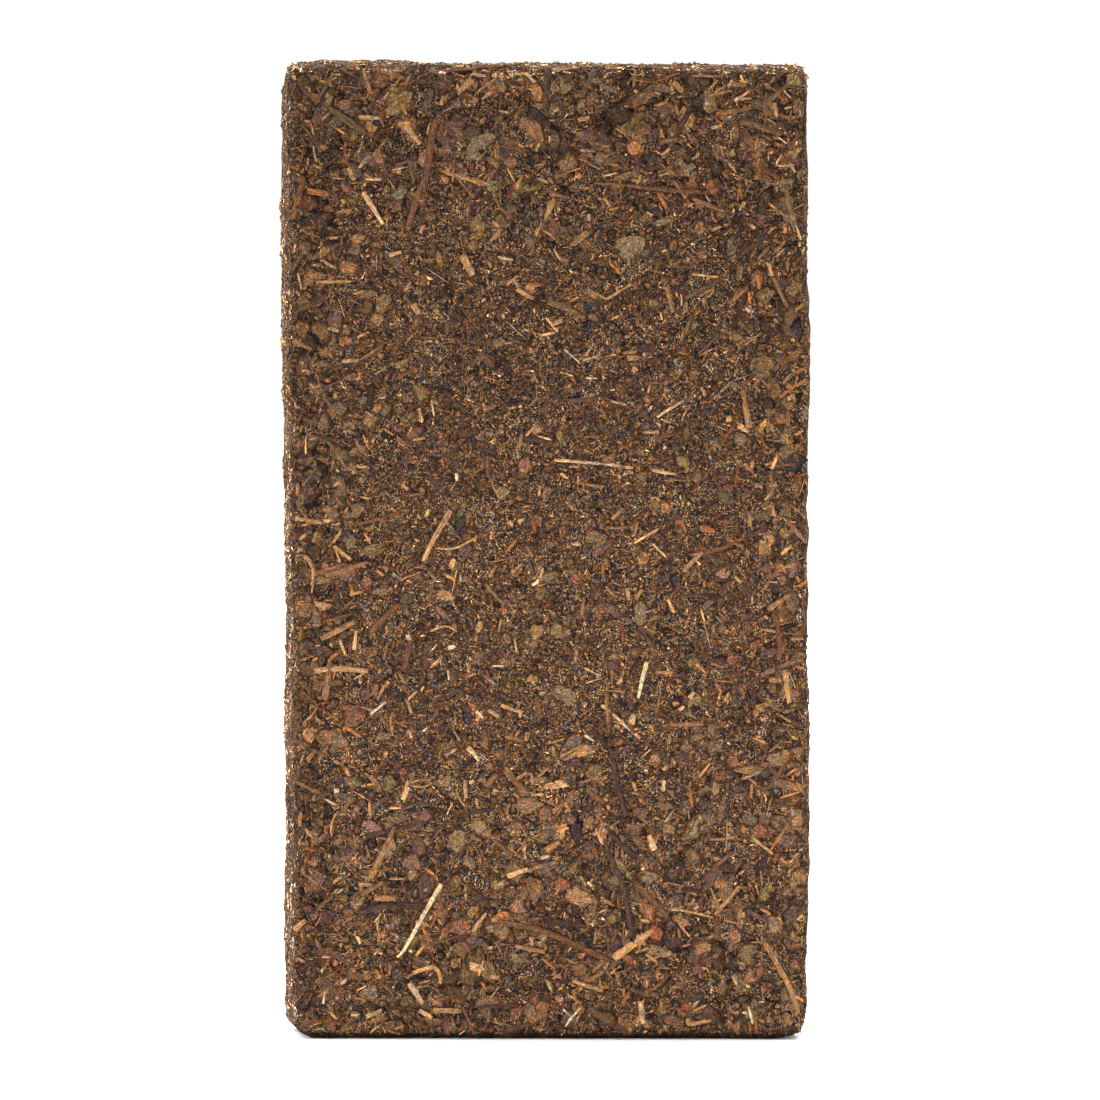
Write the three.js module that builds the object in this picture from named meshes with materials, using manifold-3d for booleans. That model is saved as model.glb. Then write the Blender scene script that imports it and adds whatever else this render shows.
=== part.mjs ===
// Pressed dark tea brick, standing on one short end, with leaf flakes and stems in its surface.
// Millimetres, +Z up. X is the width, Y the thickness, and the face shown first looks along -Y.
import * as THREE from 'three';
import { mergeVertices } from 'three/addons/utils/BufferGeometryUtils.js';
import Module from 'manifold-3d';

const wasm = await Module();
wasm.setup();

// Driving dimensions of the brick
const BRICK_HEIGHT = 350;
const BRICK_WIDTH = 186.3;
const BRICK_THICKNESS = 42.5;
const EDGE_RADIUS = 4;
const CORNER_RADIUS = { topLeft: 10, topRight: 5, bottomLeft: 4.5, bottomRight: 11 };
// The press left the long edges out of square: they lean towards -X by this share of the height
const LEAN = 0.012;
// It is this share wider at its top end than at its foot
const TAPER = 0.005;
// The rough end that it stands on is flat up to this height above its nominal end
const BASE_CUT = 0.9;

// Relief of the pressed surface
const CELL = 10;
const SIDE_CELL = 7.5;
const SWELL_WAVE = 75;
const SWELL_DEPTH = 0.9;
const LUMP_WAVE = 21;
const LUMP_DEPTH = 0.8;
const LAYER_WAVE = 7;
const LAYER_RUN = 32;
const LAYER_DEPTH = 0.9;
const GRIT_WAVE = 6.3;
const GRIT_DEPTH = 0.55;
const RELIEF_SEED = 4;
// Large odd numbers that mix the three coordinates of a lattice point
const LATTICE_MIX = [374761393, 668265263, 1274126177];
const LATTICE_SPREAD = 1103515245;

// Worn places of the outline, seen from the front: centre, reach and depth of each
const WORN_PLACES = [
  { x: 47, z: 0, reach: 26, depth: 3.2 },
  { x: -93, z: 2, reach: 6, depth: 3.6 },
  { x: -93, z: 330, reach: 15, depth: 1.6 },
  { x: 93, z: 28, reach: 16, depth: 1.4 },
];
// The back of a worn place is worn by this share of its front
const WORN_BACK_SHARE = 0.2;

// How the small pieces are made and set
const STICK_SIDES = 5;
const STICK_LIFT = 0.02;
const STICK_TAPER = 0.7;
const STICK_BEND = 0.06;
const LEAF_SIDES = 6;
const LEAF_THICKNESS = 2.6;
const LEAF_PROUD = 1.1;
const LEAF_TILT = 0.07;
const LEAF_REACHES = [0.75, 1.15];
const LAYER_THICKNESS = 2.0;
const LAYER_BURIED = 4;
const LAYER_PROUD = 1.1;
// Each end of a layer reaches and drops by a random share, and its sides wander
const LAYER_REACHES = [0.7, 1];
const LAYER_DROPS = [0, 0.6];
const LAYER_WANDER = [-0.2, 0.2];
const LAYER_HEADINGS = [-3, 3];
const PIECE_SEED = 11;
// A seeded piece ends this far inside the rim of its face
const RIM_MARGIN = 3;

// The largest stems of the front face: middle (x, z), heading from +X in degrees, length, width
const FRONT_STEMS = [
  [-46.5, 311, 104, 42, 3.2],
  [36, 306, -5, 39, 2.4],
  [65, 333, 7, 18, 2.2],
  [78, 329, -19, 18, 2.4],
  [73, 285, 34, 19, 3.0],
  [70, 270, 50, 15, 3.0],
  [-76, 132, 0, 20, 2.6],
  [-59, 151, 45, 19, 3.0],
  [-73, 168, 15, 18, 2.4],
  [-47, 41, 122, 31, 2.2],
  [1.5, 34.5, -20, 44, 3.0],
  [-84, 5.5, -3, 15, 3.2],
  [-57, 46, 7, 25, 2.8],
  [85, 22, -61, 28, 3.2],
  [26, 50, -76, 28, 2.8],
  [37, 50, -43, 17, 3.2],
  [26, 113, -41, 19, 2.0],
  [16, 206, -6, 30, 1.8],
  [-42, 10, -6, 19, 2.8],
  [56, 43, -12, 27, 2.0],
];

// The largest leaf flakes of the front face: middle (x, z), heading, length, width
const FRONT_LEAVES = [
  [-56, 336, 30, 15, 12],
  [-26, 321, 10, 14, 10],
  [31, 283, 70, 14, 11],
  [-85, 155, 8, 16, 7],
  [48, 41, 15, 11, 7],
  [56, 31, 0, 9, 8],
  [72, 30, 40, 11, 8],
  [-27, 24, 20, 12, 8],
  [2, 90, 0, 12, 5],
  [25, 105, 60, 7, 6],
];

// Seeded pieces of each face, beyond the ones above
const SCATTER = {
  front: { sticks: 7, leaves: 14 },
  back: { sticks: 18, leaves: 20 },
  left: { layers: 10 },
  right: { layers: 10 },
  top: { layers: 7 },
};
const STICK_LENGTHS = [13, 34];
const STICK_WIDTHS = [2.0, 3.2];
const LEAF_LENGTHS = [8, 16];
const LEAF_SHAPE = [0.55, 0.85];
const LAYER_LENGTHS = [16, 44];

const TEA_COLOUR = new THREE.Color(0x4a3628);

const half = new THREE.Vector3(BRICK_WIDTH / 2, BRICK_THICKNESS / 2, BRICK_HEIGHT / 2);

// Seeded random numbers from 0 to 1
function makeRandom(seed) {
  let state = seed;
  return () => {
    state = (state + 0x6d2b79f5) | 0;
    let mixed = Math.imul(state ^ (state >>> 15), 1 | state);
    mixed = (mixed + Math.imul(mixed ^ (mixed >>> 7), 61 | mixed)) ^ mixed;
    return ((mixed ^ (mixed >>> 14)) >>> 0) / 4294967296;
  };
}

const random = makeRandom(PIECE_SEED);

function randomIn([low, high]) {
  return low + (high - low) * random();
}

// One fixed value from -1 to 1 for each point of a unit lattice
function latticeValue(x, y, z) {
  const [mixX, mixY, mixZ] = LATTICE_MIX;
  let mixed = Math.imul(x, mixX) ^ Math.imul(y, mixY) ^ Math.imul(z, mixZ);
  mixed = Math.imul(mixed ^ (mixed >>> 13) ^ RELIEF_SEED, LATTICE_SPREAD);
  return ((mixed ^ (mixed >>> 16)) >>> 0) / 2147483648 - 1;
}

function fade(share) {
  return share * share * (3 - 2 * share);
}

// Smooth noise from -1 to 1, with one swell per unit
function noise(x, y, z) {
  const cell = [Math.floor(x), Math.floor(y), Math.floor(z)];
  const share = [fade(x - cell[0]), fade(y - cell[1]), fade(z - cell[2])];
  let sum = 0;
  for (const stepX of [0, 1]) {
    for (const stepY of [0, 1]) {
      for (const stepZ of [0, 1]) {
        const weightX = stepX ? share[0] : 1 - share[0];
        const weightY = stepY ? share[1] : 1 - share[1];
        const weightZ = stepZ ? share[2] : 1 - share[2];
        const value = latticeValue(cell[0] + stepX, cell[1] + stepY, cell[2] + stepZ);
        sum += weightX * weightY * weightZ * value;
      }
    }
  }
  return sum;
}

// How far the surface stands out at a point: swells and lumps on the pressed faces,
// and thin layers seen edge-on, which run along the faces, round the four narrow sides
function relief(point, narrowSide) {
  const swell = SWELL_DEPTH * noise(point.x / SWELL_WAVE, point.y / SWELL_WAVE, point.z / SWELL_WAVE);
  const lump = LUMP_DEPTH * noise(point.x / LUMP_WAVE, point.y / LUMP_WAVE, point.z / LUMP_WAVE);
  const layer = LAYER_DEPTH * noise(point.x / LAYER_RUN, point.y / LAYER_WAVE, point.z / LAYER_RUN);
  const grit = GRIT_DEPTH * noise(point.x / GRIT_WAVE, point.y / GRIT_WAVE, point.z / GRIT_WAVE);
  return swell + grit + lump * (1 - narrowSide) + layer * narrowSide;
}

// The lines of a box grid are spread over the flat of each side, and one stays on each edge
function respace(value, reach, cells) {
  const share = value / reach;
  const step = 2 / cells;
  if (Math.abs(share) > 1 - step / 2) {
    return value;
  }
  return (share / (1 - step)) * (reach - EDGE_RADIUS);
}

function cornerRadius(x, z) {
  if (z > 0) {
    return x < 0 ? CORNER_RADIUS.topLeft : CORNER_RADIUS.topRight;
  }
  return x < 0 ? CORNER_RADIUS.bottomLeft : CORNER_RADIUS.bottomRight;
}

// Turns a square corner of the front outline into an arc
function roundCorner(point) {
  const radius = cornerRadius(point.x, point.z);
  const beyondX = Math.abs(point.x) - (half.x - radius);
  const beyondZ = Math.abs(point.z) - (half.z - radius);
  if (beyondX <= 0 || beyondZ <= 0) {
    return;
  }
  const scale = Math.max(beyondX, beyondZ) / Math.hypot(beyondX, beyondZ);
  point.x = Math.sign(point.x) * (half.x - radius + beyondX * scale);
  point.z = Math.sign(point.z) * (half.z - radius + beyondZ * scale);
}

// Draws worn places of the outline in towards the middle of the brick
function wearOutline(point) {
  for (const place of WORN_PLACES) {
    const awayX = point.x - place.x;
    const awayZ = point.z + half.z - place.z;
    const closeness = 1 - Math.hypot(awayX, awayZ) / place.reach;
    if (closeness <= 0) {
      continue;
    }
    const pull = place.depth * fade(closeness);
    const frontShare = THREE.MathUtils.clamp(0.5 - point.y / BRICK_THICKNESS, WORN_BACK_SHARE, 1);
    if (Math.abs(place.x) > half.x / 2) {
      point.x -= Math.sign(place.x) * pull * frontShare;
    } else {
      point.z += pull * frontShare;
      point.y += pull * frontShare;
    }
  }
}

function respacePoint(point, cells) {
  point.x = respace(point.x, half.x, cells.x);
  point.y = respace(point.y, half.y, cells.y);
  point.z = respace(point.z, half.z, cells.z);
}

// The brick's own lump: a box grid with rounded edges, worn corners and its relief
function makeCore() {
  const cells = new THREE.Vector3(
    Math.round(BRICK_WIDTH / CELL),
    Math.round(BRICK_THICKNESS / SIDE_CELL),
    Math.round(BRICK_HEIGHT / CELL),
  );
  const box = new THREE.BoxGeometry(
    BRICK_WIDTH, BRICK_THICKNESS, BRICK_HEIGHT, cells.x, cells.y, cells.z,
  );
  const core = bareGeometry(box);
  const flat = half.clone().subScalar(EDGE_RADIUS);
  const positions = core.attributes.position;
  const point = new THREE.Vector3();
  for (let index = 0; index < positions.count; index += 1) {
    point.fromBufferAttribute(positions, index);
    respacePoint(point, cells);
    const inner = point.clone().clamp(flat.clone().negate(), flat);
    const outward = point.clone().sub(inner).normalize();
    point.copy(inner).addScaledVector(outward, EDGE_RADIUS);
    roundCorner(point);
    const narrowSide = Math.hypot(outward.x, outward.z);
    point.addScaledVector(outward, relief(point, narrowSide));
    wearOutline(point);
    positions.setXYZ(index, point.x, point.y, point.z);
  }
  return core;
}

// Keeps the positions alone, with shared vertices merged, so that the geometry is closed
function bareGeometry(geometry) {
  geometry.deleteAttribute('normal');
  geometry.deleteAttribute('uv');
  return mergeVertices(geometry, 1e-4);
}

function toSolid(geometry) {
  return new wasm.Manifold(new wasm.Mesh({
    numProp: 3,
    vertProperties: new Float32Array(geometry.attributes.position.array),
    triVerts: new Uint32Array(geometry.index.array),
  }));
}

function fromSolid(solid) {
  const mesh = solid.getMesh();
  const geometry = new THREE.BufferGeometry();
  geometry.setAttribute('position', new THREE.BufferAttribute(mesh.vertProperties, 3));
  geometry.setIndex(new THREE.BufferAttribute(mesh.triVerts, 1));
  return geometry;
}

// Directions of a face: along is its first axis, across its second, and out points away
const FACES = {
  front: { along: [1, 0, 0], across: [0, 0, 1], out: [0, -1, 0], reach: [half.x, half.z], depth: half.y },
  back: { along: [-1, 0, 0], across: [0, 0, 1], out: [0, 1, 0], reach: [half.x, half.z], depth: half.y },
  left: { along: [0, 0, 1], across: [0, 1, 0], out: [-1, 0, 0], reach: [half.z, half.y], depth: half.x },
  right: { along: [0, 0, 1], across: [0, -1, 0], out: [1, 0, 0], reach: [half.z, half.y], depth: half.x },
  top: { along: [1, 0, 0], across: [0, 1, 0], out: [0, 0, 1], reach: [half.x, half.y], depth: half.z },
};

const coreGeometry = makeCore();
const coreMesh = new THREE.Mesh(coreGeometry, new THREE.MeshBasicMaterial());

// Sets a piece, made along X with +Z outwards, on a face at (u, v), turned by heading
function setOnFace(geometry, face, u, v, heading, lift) {
  const along = new THREE.Vector3(...face.along);
  const across = new THREE.Vector3(...face.across);
  const out = new THREE.Vector3(...face.out);
  const start = along.clone().multiplyScalar(u).addScaledVector(across, v);
  start.addScaledVector(out, 2 * face.depth);
  const [hit] = new THREE.Raycaster(start, out.clone().negate()).intersectObject(coreMesh);
  const spot = hit.point.addScaledVector(out, lift);
  geometry.rotateZ(THREE.MathUtils.degToRad(heading));
  geometry.applyMatrix4(new THREE.Matrix4().makeBasis(along, across, out).setPosition(spot));
  return toSolid(geometry);
}

// A stem: a five-sided rod that tapers and bends a little
function makeStick(length, width) {
  const rod = bareGeometry(new THREE.CylinderGeometry(
    (width / 2) * STICK_TAPER, width / 2, length, STICK_SIDES, 2,
  ));
  rod.rotateZ(-Math.PI / 2);
  const bend = length * STICK_BEND * randomIn([-1, 1]);
  const positions = rod.attributes.position;
  for (let index = 0; index < positions.count; index += 1) {
    const share = (2 * positions.getX(index)) / length;
    positions.setY(index, positions.getY(index) + bend * (1 - share * share));
  }
  return rod;
}

// A leaf flake: a thin plate with an uneven outline, tilted a little
function makeLeaf(length, width) {
  const plate = bareGeometry(new THREE.CylinderGeometry(1, 1, LEAF_THICKNESS, LEAF_SIDES, 1));
  plate.rotateX(Math.PI / 2);
  const reaches = Array.from({ length: LEAF_SIDES }, () => randomIn(LEAF_REACHES));
  const positions = plate.attributes.position;
  for (let index = 0; index < positions.count; index += 1) {
    const x = positions.getX(index);
    const y = positions.getY(index);
    const turn = Math.atan2(y, x) / (2 * Math.PI) + 1;
    const side = Math.round(turn * LEAF_SIDES) % LEAF_SIDES;
    const onRim = Math.hypot(x, y) > 0.5;
    const reach = onRim ? reaches[side] : 0;
    positions.setX(index, x * reach * (length / 2));
    positions.setY(index, y * reach * (width / 2));
  }
  plate.rotateX(LEAF_TILT * randomIn([-1, 1]));
  plate.rotateY(LEAF_TILT * randomIn([-1, 1]));
  return plate;
}

// A layer seen edge-on: a long low ledge with uneven ends, mostly buried
function makeLayer(length) {
  const depth = LAYER_BURIED + LAYER_PROUD;
  const ledge = bareGeometry(new THREE.BoxGeometry(length, LAYER_THICKNESS, depth, 2, 1, 1));
  const positions = ledge.attributes.position;
  for (let index = 0; index < positions.count; index += 1) {
    const atEnd = Math.abs(positions.getX(index)) > length / 4;
    if (positions.getZ(index) > 0 && atEnd) {
      positions.setX(index, positions.getX(index) * randomIn(LAYER_REACHES));
      positions.setZ(index, positions.getZ(index) - LAYER_PROUD * randomIn(LAYER_DROPS));
    }
    positions.setY(index, positions.getY(index) + LAYER_THICKNESS * randomIn(LAYER_WANDER));
  }
  ledge.translate(0, 0, LAYER_PROUD - depth / 2);
  return ledge;
}

function setStick(face, u, v, heading, length, width) {
  return setOnFace(makeStick(length, width), face, u, v, heading, STICK_LIFT * width);
}

function setLeaf(face, u, v, heading, length, width) {
  const lift = LEAF_PROUD - LEAF_THICKNESS / 2;
  return setOnFace(makeLeaf(length, width), face, u, v, heading, lift);
}

// The stems and leaves that the front face is known by
function frontPieces() {
  const stems = FRONT_STEMS.map(([x, z, heading, length, width]) => (
    setStick(FACES.front, x, z - half.z, heading, length, width)
  ));
  const leaves = FRONT_LEAVES.map(([x, z, heading, length, width]) => (
    setLeaf(FACES.front, x, z - half.z, heading, length, width)
  ));
  return [...stems, ...leaves];
}

// Spots spread evenly over a face, one in each box of a jittered grid
function spreadSpots(face, count) {
  const [reachU, reachV] = face.reach;
  const columns = Math.max(1, Math.round(Math.sqrt((count * reachU) / reachV)));
  const rows = Math.ceil(count / columns);
  const spots = [];
  for (let index = 0; index < count; index += 1) {
    const column = index % columns;
    const row = Math.floor(index / columns);
    spots.push([
      reachU * ((2 * (column + random())) / columns - 1),
      reachV * ((2 * (row + random())) / rows - 1),
    ]);
  }
  return spots;
}

// Draws a spot in from the rim, so that a piece of this length and heading ends on the face
function keepInside(face, [u, v], heading, length) {
  const turn = THREE.MathUtils.degToRad(heading);
  const roomU = face.reach[0] - RIM_MARGIN - Math.abs(Math.cos(turn)) * (length / 2);
  const roomV = face.reach[1] - RIM_MARGIN - Math.abs(Math.sin(turn)) * (length / 2);
  return [THREE.MathUtils.clamp(u, -roomU, roomU), THREE.MathUtils.clamp(v, -roomV, roomV)];
}

function scatterSticks(face, count) {
  return spreadSpots(face, count).map((spot) => {
    const heading = randomIn([0, 180]);
    const length = randomIn(STICK_LENGTHS);
    const [u, v] = keepInside(face, spot, heading, length);
    return setStick(face, u, v, heading, length, randomIn(STICK_WIDTHS));
  });
}

function scatterLeaves(face, count) {
  return spreadSpots(face, count).map((spot) => {
    const heading = randomIn([0, 180]);
    const length = randomIn(LEAF_LENGTHS);
    const [u, v] = keepInside(face, spot, heading, length);
    return setLeaf(face, u, v, heading, length, length * randomIn(LEAF_SHAPE));
  });
}

function scatterLayers(face, count) {
  return spreadSpots(face, count).map((spot) => {
    const heading = randomIn(LAYER_HEADINGS);
    const length = randomIn(LAYER_LENGTHS);
    const [u, v] = keepInside(face, spot, heading, length);
    return setOnFace(makeLayer(length), face, u, v, heading, 0);
  });
}

function scatteredPieces() {
  const pieces = [];
  for (const [name, { sticks = 0, leaves = 0, layers = 0 }] of Object.entries(SCATTER)) {
    const face = FACES[name];
    pieces.push(...scatterSticks(face, sticks));
    pieces.push(...scatterLeaves(face, leaves));
    pieces.push(...scatterLayers(face, layers));
  }
  return pieces;
}

// What would lie below the flat that the brick stands on
function makeFloorCut() {
  const cut = bareGeometry(new THREE.BoxGeometry(2 * BRICK_WIDTH, 4 * BRICK_THICKNESS, BRICK_WIDTH));
  cut.translate(0, 0, -half.z + BASE_CUT - BRICK_WIDTH / 2);
  return toSolid(cut);
}

// Gives the brick its lean and taper, then stands it on z = 0, centred on its own box
function standUpright(geometry) {
  const positions = geometry.attributes.position;
  for (let index = 0; index < positions.count; index += 1) {
    const z = positions.getZ(index);
    const widening = 1 + (TAPER * z) / BRICK_HEIGHT;
    positions.setX(index, positions.getX(index) * widening - LEAN * z);
  }
  geometry.computeBoundingBox();
  const box = geometry.boundingBox;
  geometry.translate(-(box.min.x + box.max.x) / 2, -(box.min.y + box.max.y) / 2, -box.min.z);
}

function makeBrick() {
  let solid = toSolid(coreGeometry);
  for (const piece of [...frontPieces(), ...scatteredPieces()]) {
    solid = solid.add(piece);
  }
  solid = solid.subtract(makeFloorCut());
  const geometry = fromSolid(solid);
  standUpright(geometry);
  geometry.computeVertexNormals();
  const material = new THREE.MeshStandardMaterial({ color: TEA_COLOUR, roughness: 0.85, metalness: 0 });
  const brick = new THREE.Mesh(geometry, material);
  brick.name = 'tea_brick';
  return brick;
}

const group = new THREE.Group();
group.add(makeBrick());

export default group;
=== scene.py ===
"""Pressed dark tea brick: the crumb it is pressed from, and the leaves, stems and fibres in its faces."""
import math

import bmesh
import bpy
import numpy as np
from mathutils import Matrix, Vector, noise
from mathutils.bvhtree import BVHTree


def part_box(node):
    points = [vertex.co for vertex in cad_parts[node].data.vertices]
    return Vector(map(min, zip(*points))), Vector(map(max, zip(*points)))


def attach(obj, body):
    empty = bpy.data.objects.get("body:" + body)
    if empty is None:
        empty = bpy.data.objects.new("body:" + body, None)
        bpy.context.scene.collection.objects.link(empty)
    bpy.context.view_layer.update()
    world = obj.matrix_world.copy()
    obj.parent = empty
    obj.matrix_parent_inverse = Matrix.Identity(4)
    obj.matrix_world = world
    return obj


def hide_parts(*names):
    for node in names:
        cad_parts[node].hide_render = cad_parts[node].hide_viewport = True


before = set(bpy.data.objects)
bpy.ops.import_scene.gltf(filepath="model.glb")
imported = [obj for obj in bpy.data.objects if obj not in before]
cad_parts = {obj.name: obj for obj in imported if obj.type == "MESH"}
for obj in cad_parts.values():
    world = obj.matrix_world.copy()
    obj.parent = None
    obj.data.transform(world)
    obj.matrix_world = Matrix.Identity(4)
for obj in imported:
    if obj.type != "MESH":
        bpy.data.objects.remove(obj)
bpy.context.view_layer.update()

MM = 0.001
NODE = "tea_brick"
BODY = "root"
LOW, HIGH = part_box(NODE)
HALF_WIDTH = (HIGH.x - LOW.x) / 2
HALF_THICKNESS = (HIGH.y - LOW.y) / 2
HEIGHT = HIGH.z
# The long edges lean towards -X by this share of the height
LEAN = 0.012

# The photograph's frame, and the camera that fits it
PHOTO_SIZE = 1100
PHOTO_MM_PER_PIXEL = 0.3577
SENSOR = 36.0
CAMERA_DISTANCE = 5.0
CAMERA_AZIMUTH = math.radians(-4.0)
CAMERA_ELEVATION = math.radians(3.5)
CAMERA_ROLL = math.radians(0.5)
CAMERA_AIM = Vector((-0.2 * MM, -HALF_THICKNESS, 175.95 * MM))

# Sides of the brick, in the order of the distances that side_of() compares
FRONT, BACK, LEFT, RIGHT, TOP, BASE = range(6)

# Colours, as they look in plain daylight
COLOURS = {
    "black": "#2a1f1c",
    "ink": "#332a28",
    "soot": "#3b2b24",
    "dark": "#4d392e",
    "brown": "#5c4434",
    "mid": "#6e4f38",
    "warm": "#7e5a3d",
    "light": "#946a46",
    "tan": "#ae8156",
    "straw": "#c2966a",
    "cream": "#dab88c",
    "olive": "#685036",
    "grey": "#745b40",
    "plum": "#614737",
    "red": "#704832",
    "orange": "#9c643c",
    "moss": "#765a38",
    "bark": "#6a4831",
    "rind": "#a48b76",
}


def linear(name):
    """A named colour as linear red, green and blue."""
    code = COLOURS[name]
    parts = [int(code[at:at + 2], 16) / 255 for at in (1, 3, 5)]
    return [part / 12.92 if part <= 0.04045 else ((part + 0.055) / 1.055) ** 2.4 for part in parts]


def smooth_step(value):
    value = np.clip(value, 0, 1)
    return value * value * (3 - 2 * value)


# Camera, floor and lights


def make_camera():
    data = bpy.data.cameras.new("camera")
    data.sensor_width = SENSOR
    data.lens = SENSOR * CAMERA_DISTANCE / (PHOTO_SIZE * PHOTO_MM_PER_PIXEL * MM)
    data.clip_end = 100
    camera = bpy.data.objects.new("camera", data)
    bpy.context.collection.objects.link(camera)
    back = Vector((
        math.sin(CAMERA_AZIMUTH) * math.cos(CAMERA_ELEVATION),
        -math.cos(CAMERA_AZIMUTH) * math.cos(CAMERA_ELEVATION),
        math.sin(CAMERA_ELEVATION),
    ))
    turn = back.to_track_quat("Z", "Y").to_matrix().to_4x4() @ Matrix.Rotation(CAMERA_ROLL, 4, "Z")
    camera.matrix_world = Matrix.Translation(CAMERA_AIM + back * CAMERA_DISTANCE) @ turn
    bpy.context.scene.camera = camera


def add_area_light(name, place, target, size, power):
    data = bpy.data.lights.new(name, "AREA")
    data.shape = "SQUARE"
    data.size = size
    data.energy = power
    light = bpy.data.objects.new(name, data)
    bpy.context.collection.objects.link(light)
    aim = Vector(target) - Vector(place)
    light.matrix_world = Matrix.Translation(place) @ aim.to_track_quat("-Z", "Y").to_matrix().to_4x4()


def make_studio():
    scene = bpy.context.scene
    scene.view_settings.view_transform = "Standard"
    world = bpy.data.worlds.new("white room")
    world.use_nodes = True
    world.node_tree.nodes["Background"].inputs["Color"].default_value = (1, 1, 1, 1)
    world.node_tree.nodes["Background"].inputs["Strength"].default_value = WORLD_LIGHT
    scene.world = world
    for name, light in LIGHTS.items():
        add_area_light(name, **light)
    make_floor()
    make_backdrop()


# The light from all round, and the lamps: places and sizes in metres, powers in watts
WORLD_LIGHT = 0.36
MIDDLE = (0, 0, HEIGHT / 2)
LIGHTS = {
    "front light": {"place": (-1.2, -2.9, 1.1), "target": MIDDLE, "size": 0.5, "power": 70},
    "left light": {"place": (-2.4, 0.4, 1.0), "target": MIDDLE, "size": 1.0, "power": 40},
    "right light": {"place": (2.4, 0.3, 0.9), "target": MIDDLE, "size": 1.0, "power": 14},
    "top light": {"place": (0, 1.2, 2.4), "target": (0, 1.2, 0), "size": 3.2, "power": 310},
}
# The white wall behind the brick: its distance, its half width, and its height
WALL_DISTANCE = 3.6
WALL_REACH = 1.3
WALL_HEIGHT = 2.6
# The white arc farther out than any camera: its radius, its half angle, and its height
ARC_RADIUS = 7.0
ARC_REACH = math.radians(97)
ARC_HEIGHT = 8.0
BACKDROP_GLOW = 1.05
FLOOR_RADIUS = 12


def make_backdrop():
    """A white wall close behind the brick, and a white arc beyond every camera."""
    shape = bmesh.new()
    wall = bmesh.ops.create_grid(shape, x_segments=1, y_segments=1, size=1)["verts"]
    for vert in wall:
        vert.co = (vert.co.x * WALL_REACH, WALL_DISTANCE, (vert.co.y + 1) / 2 * WALL_HEIGHT)
    arc = bmesh.ops.create_grid(shape, x_segments=32, y_segments=1, size=1)["verts"]
    for vert in arc:
        angle = vert.co.x * ARC_REACH
        height = (vert.co.y + 1) / 2 * ARC_HEIGHT
        vert.co = (math.sin(angle) * ARC_RADIUS, math.cos(angle) * ARC_RADIUS, height)
    backdrop = new_piece("backdrop", shape)
    shader = Finish("lit white wall")
    glow = shader.node("ShaderNodeEmission", {}, {"Color": (1, 1, 1, 1), "Strength": BACKDROP_GLOW})
    shader.node("ShaderNodeOutputMaterial", {}, {"Surface": glow.outputs[0]})
    backdrop.data.materials.append(shader.material)


def make_floor():
    shape = bmesh.new()
    bmesh.ops.create_circle(shape, cap_ends=True, segments=96, radius=FLOOR_RADIUS)
    floor = new_piece("floor", shape)
    shader = Finish("pale floor")
    place = shader.object_place()
    speckle = shader.noise(place, 0.02, detail=2)
    tone = shader.mix((0.86, 0.86, 0.86, 1), (0.9, 0.9, 0.9, 1), speckle)
    shader.close(tone, 0.9, speckle, bump=0.0001)
    floor.data.materials.append(shader.material)


# Shader building


class Term:
    """One value of a finish. Python arithmetic on it adds the Math nodes."""

    def __init__(self, shader, socket):
        self.shader = shader
        self.socket = socket

    def maths(self, operation, first, second=0.0):
        node = self.shader.node("ShaderNodeMath", {"operation": operation}, {0: first, 1: second})
        return Term(self.shader, node.outputs[0])

    def __add__(self, other):
        return self.maths("ADD", self, other)

    def __sub__(self, other):
        return self.maths("SUBTRACT", self, other)

    def __rsub__(self, other):
        return self.maths("SUBTRACT", other, self)

    def __mul__(self, other):
        return self.maths("MULTIPLY", self, other)

    __radd__ = __add__
    __rmul__ = __mul__

    def raised(self):
        """e to the power of this value."""
        return self.maths("EXPONENT", self)

    def unsigned(self):
        """This value without its sign."""
        return self.maths("ABSOLUTE", self)

    def between(self, low, high):
        """0 below low and 1 above high, with a smooth rise between them."""
        node = self.shader.node(
            "ShaderNodeMapRange",
            {"interpolation_type": "SMOOTHSTEP"},
            {"Value": self, "From Min": low, "From Max": high},
        )
        return Term(self.shader, node.outputs["Result"])


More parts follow.
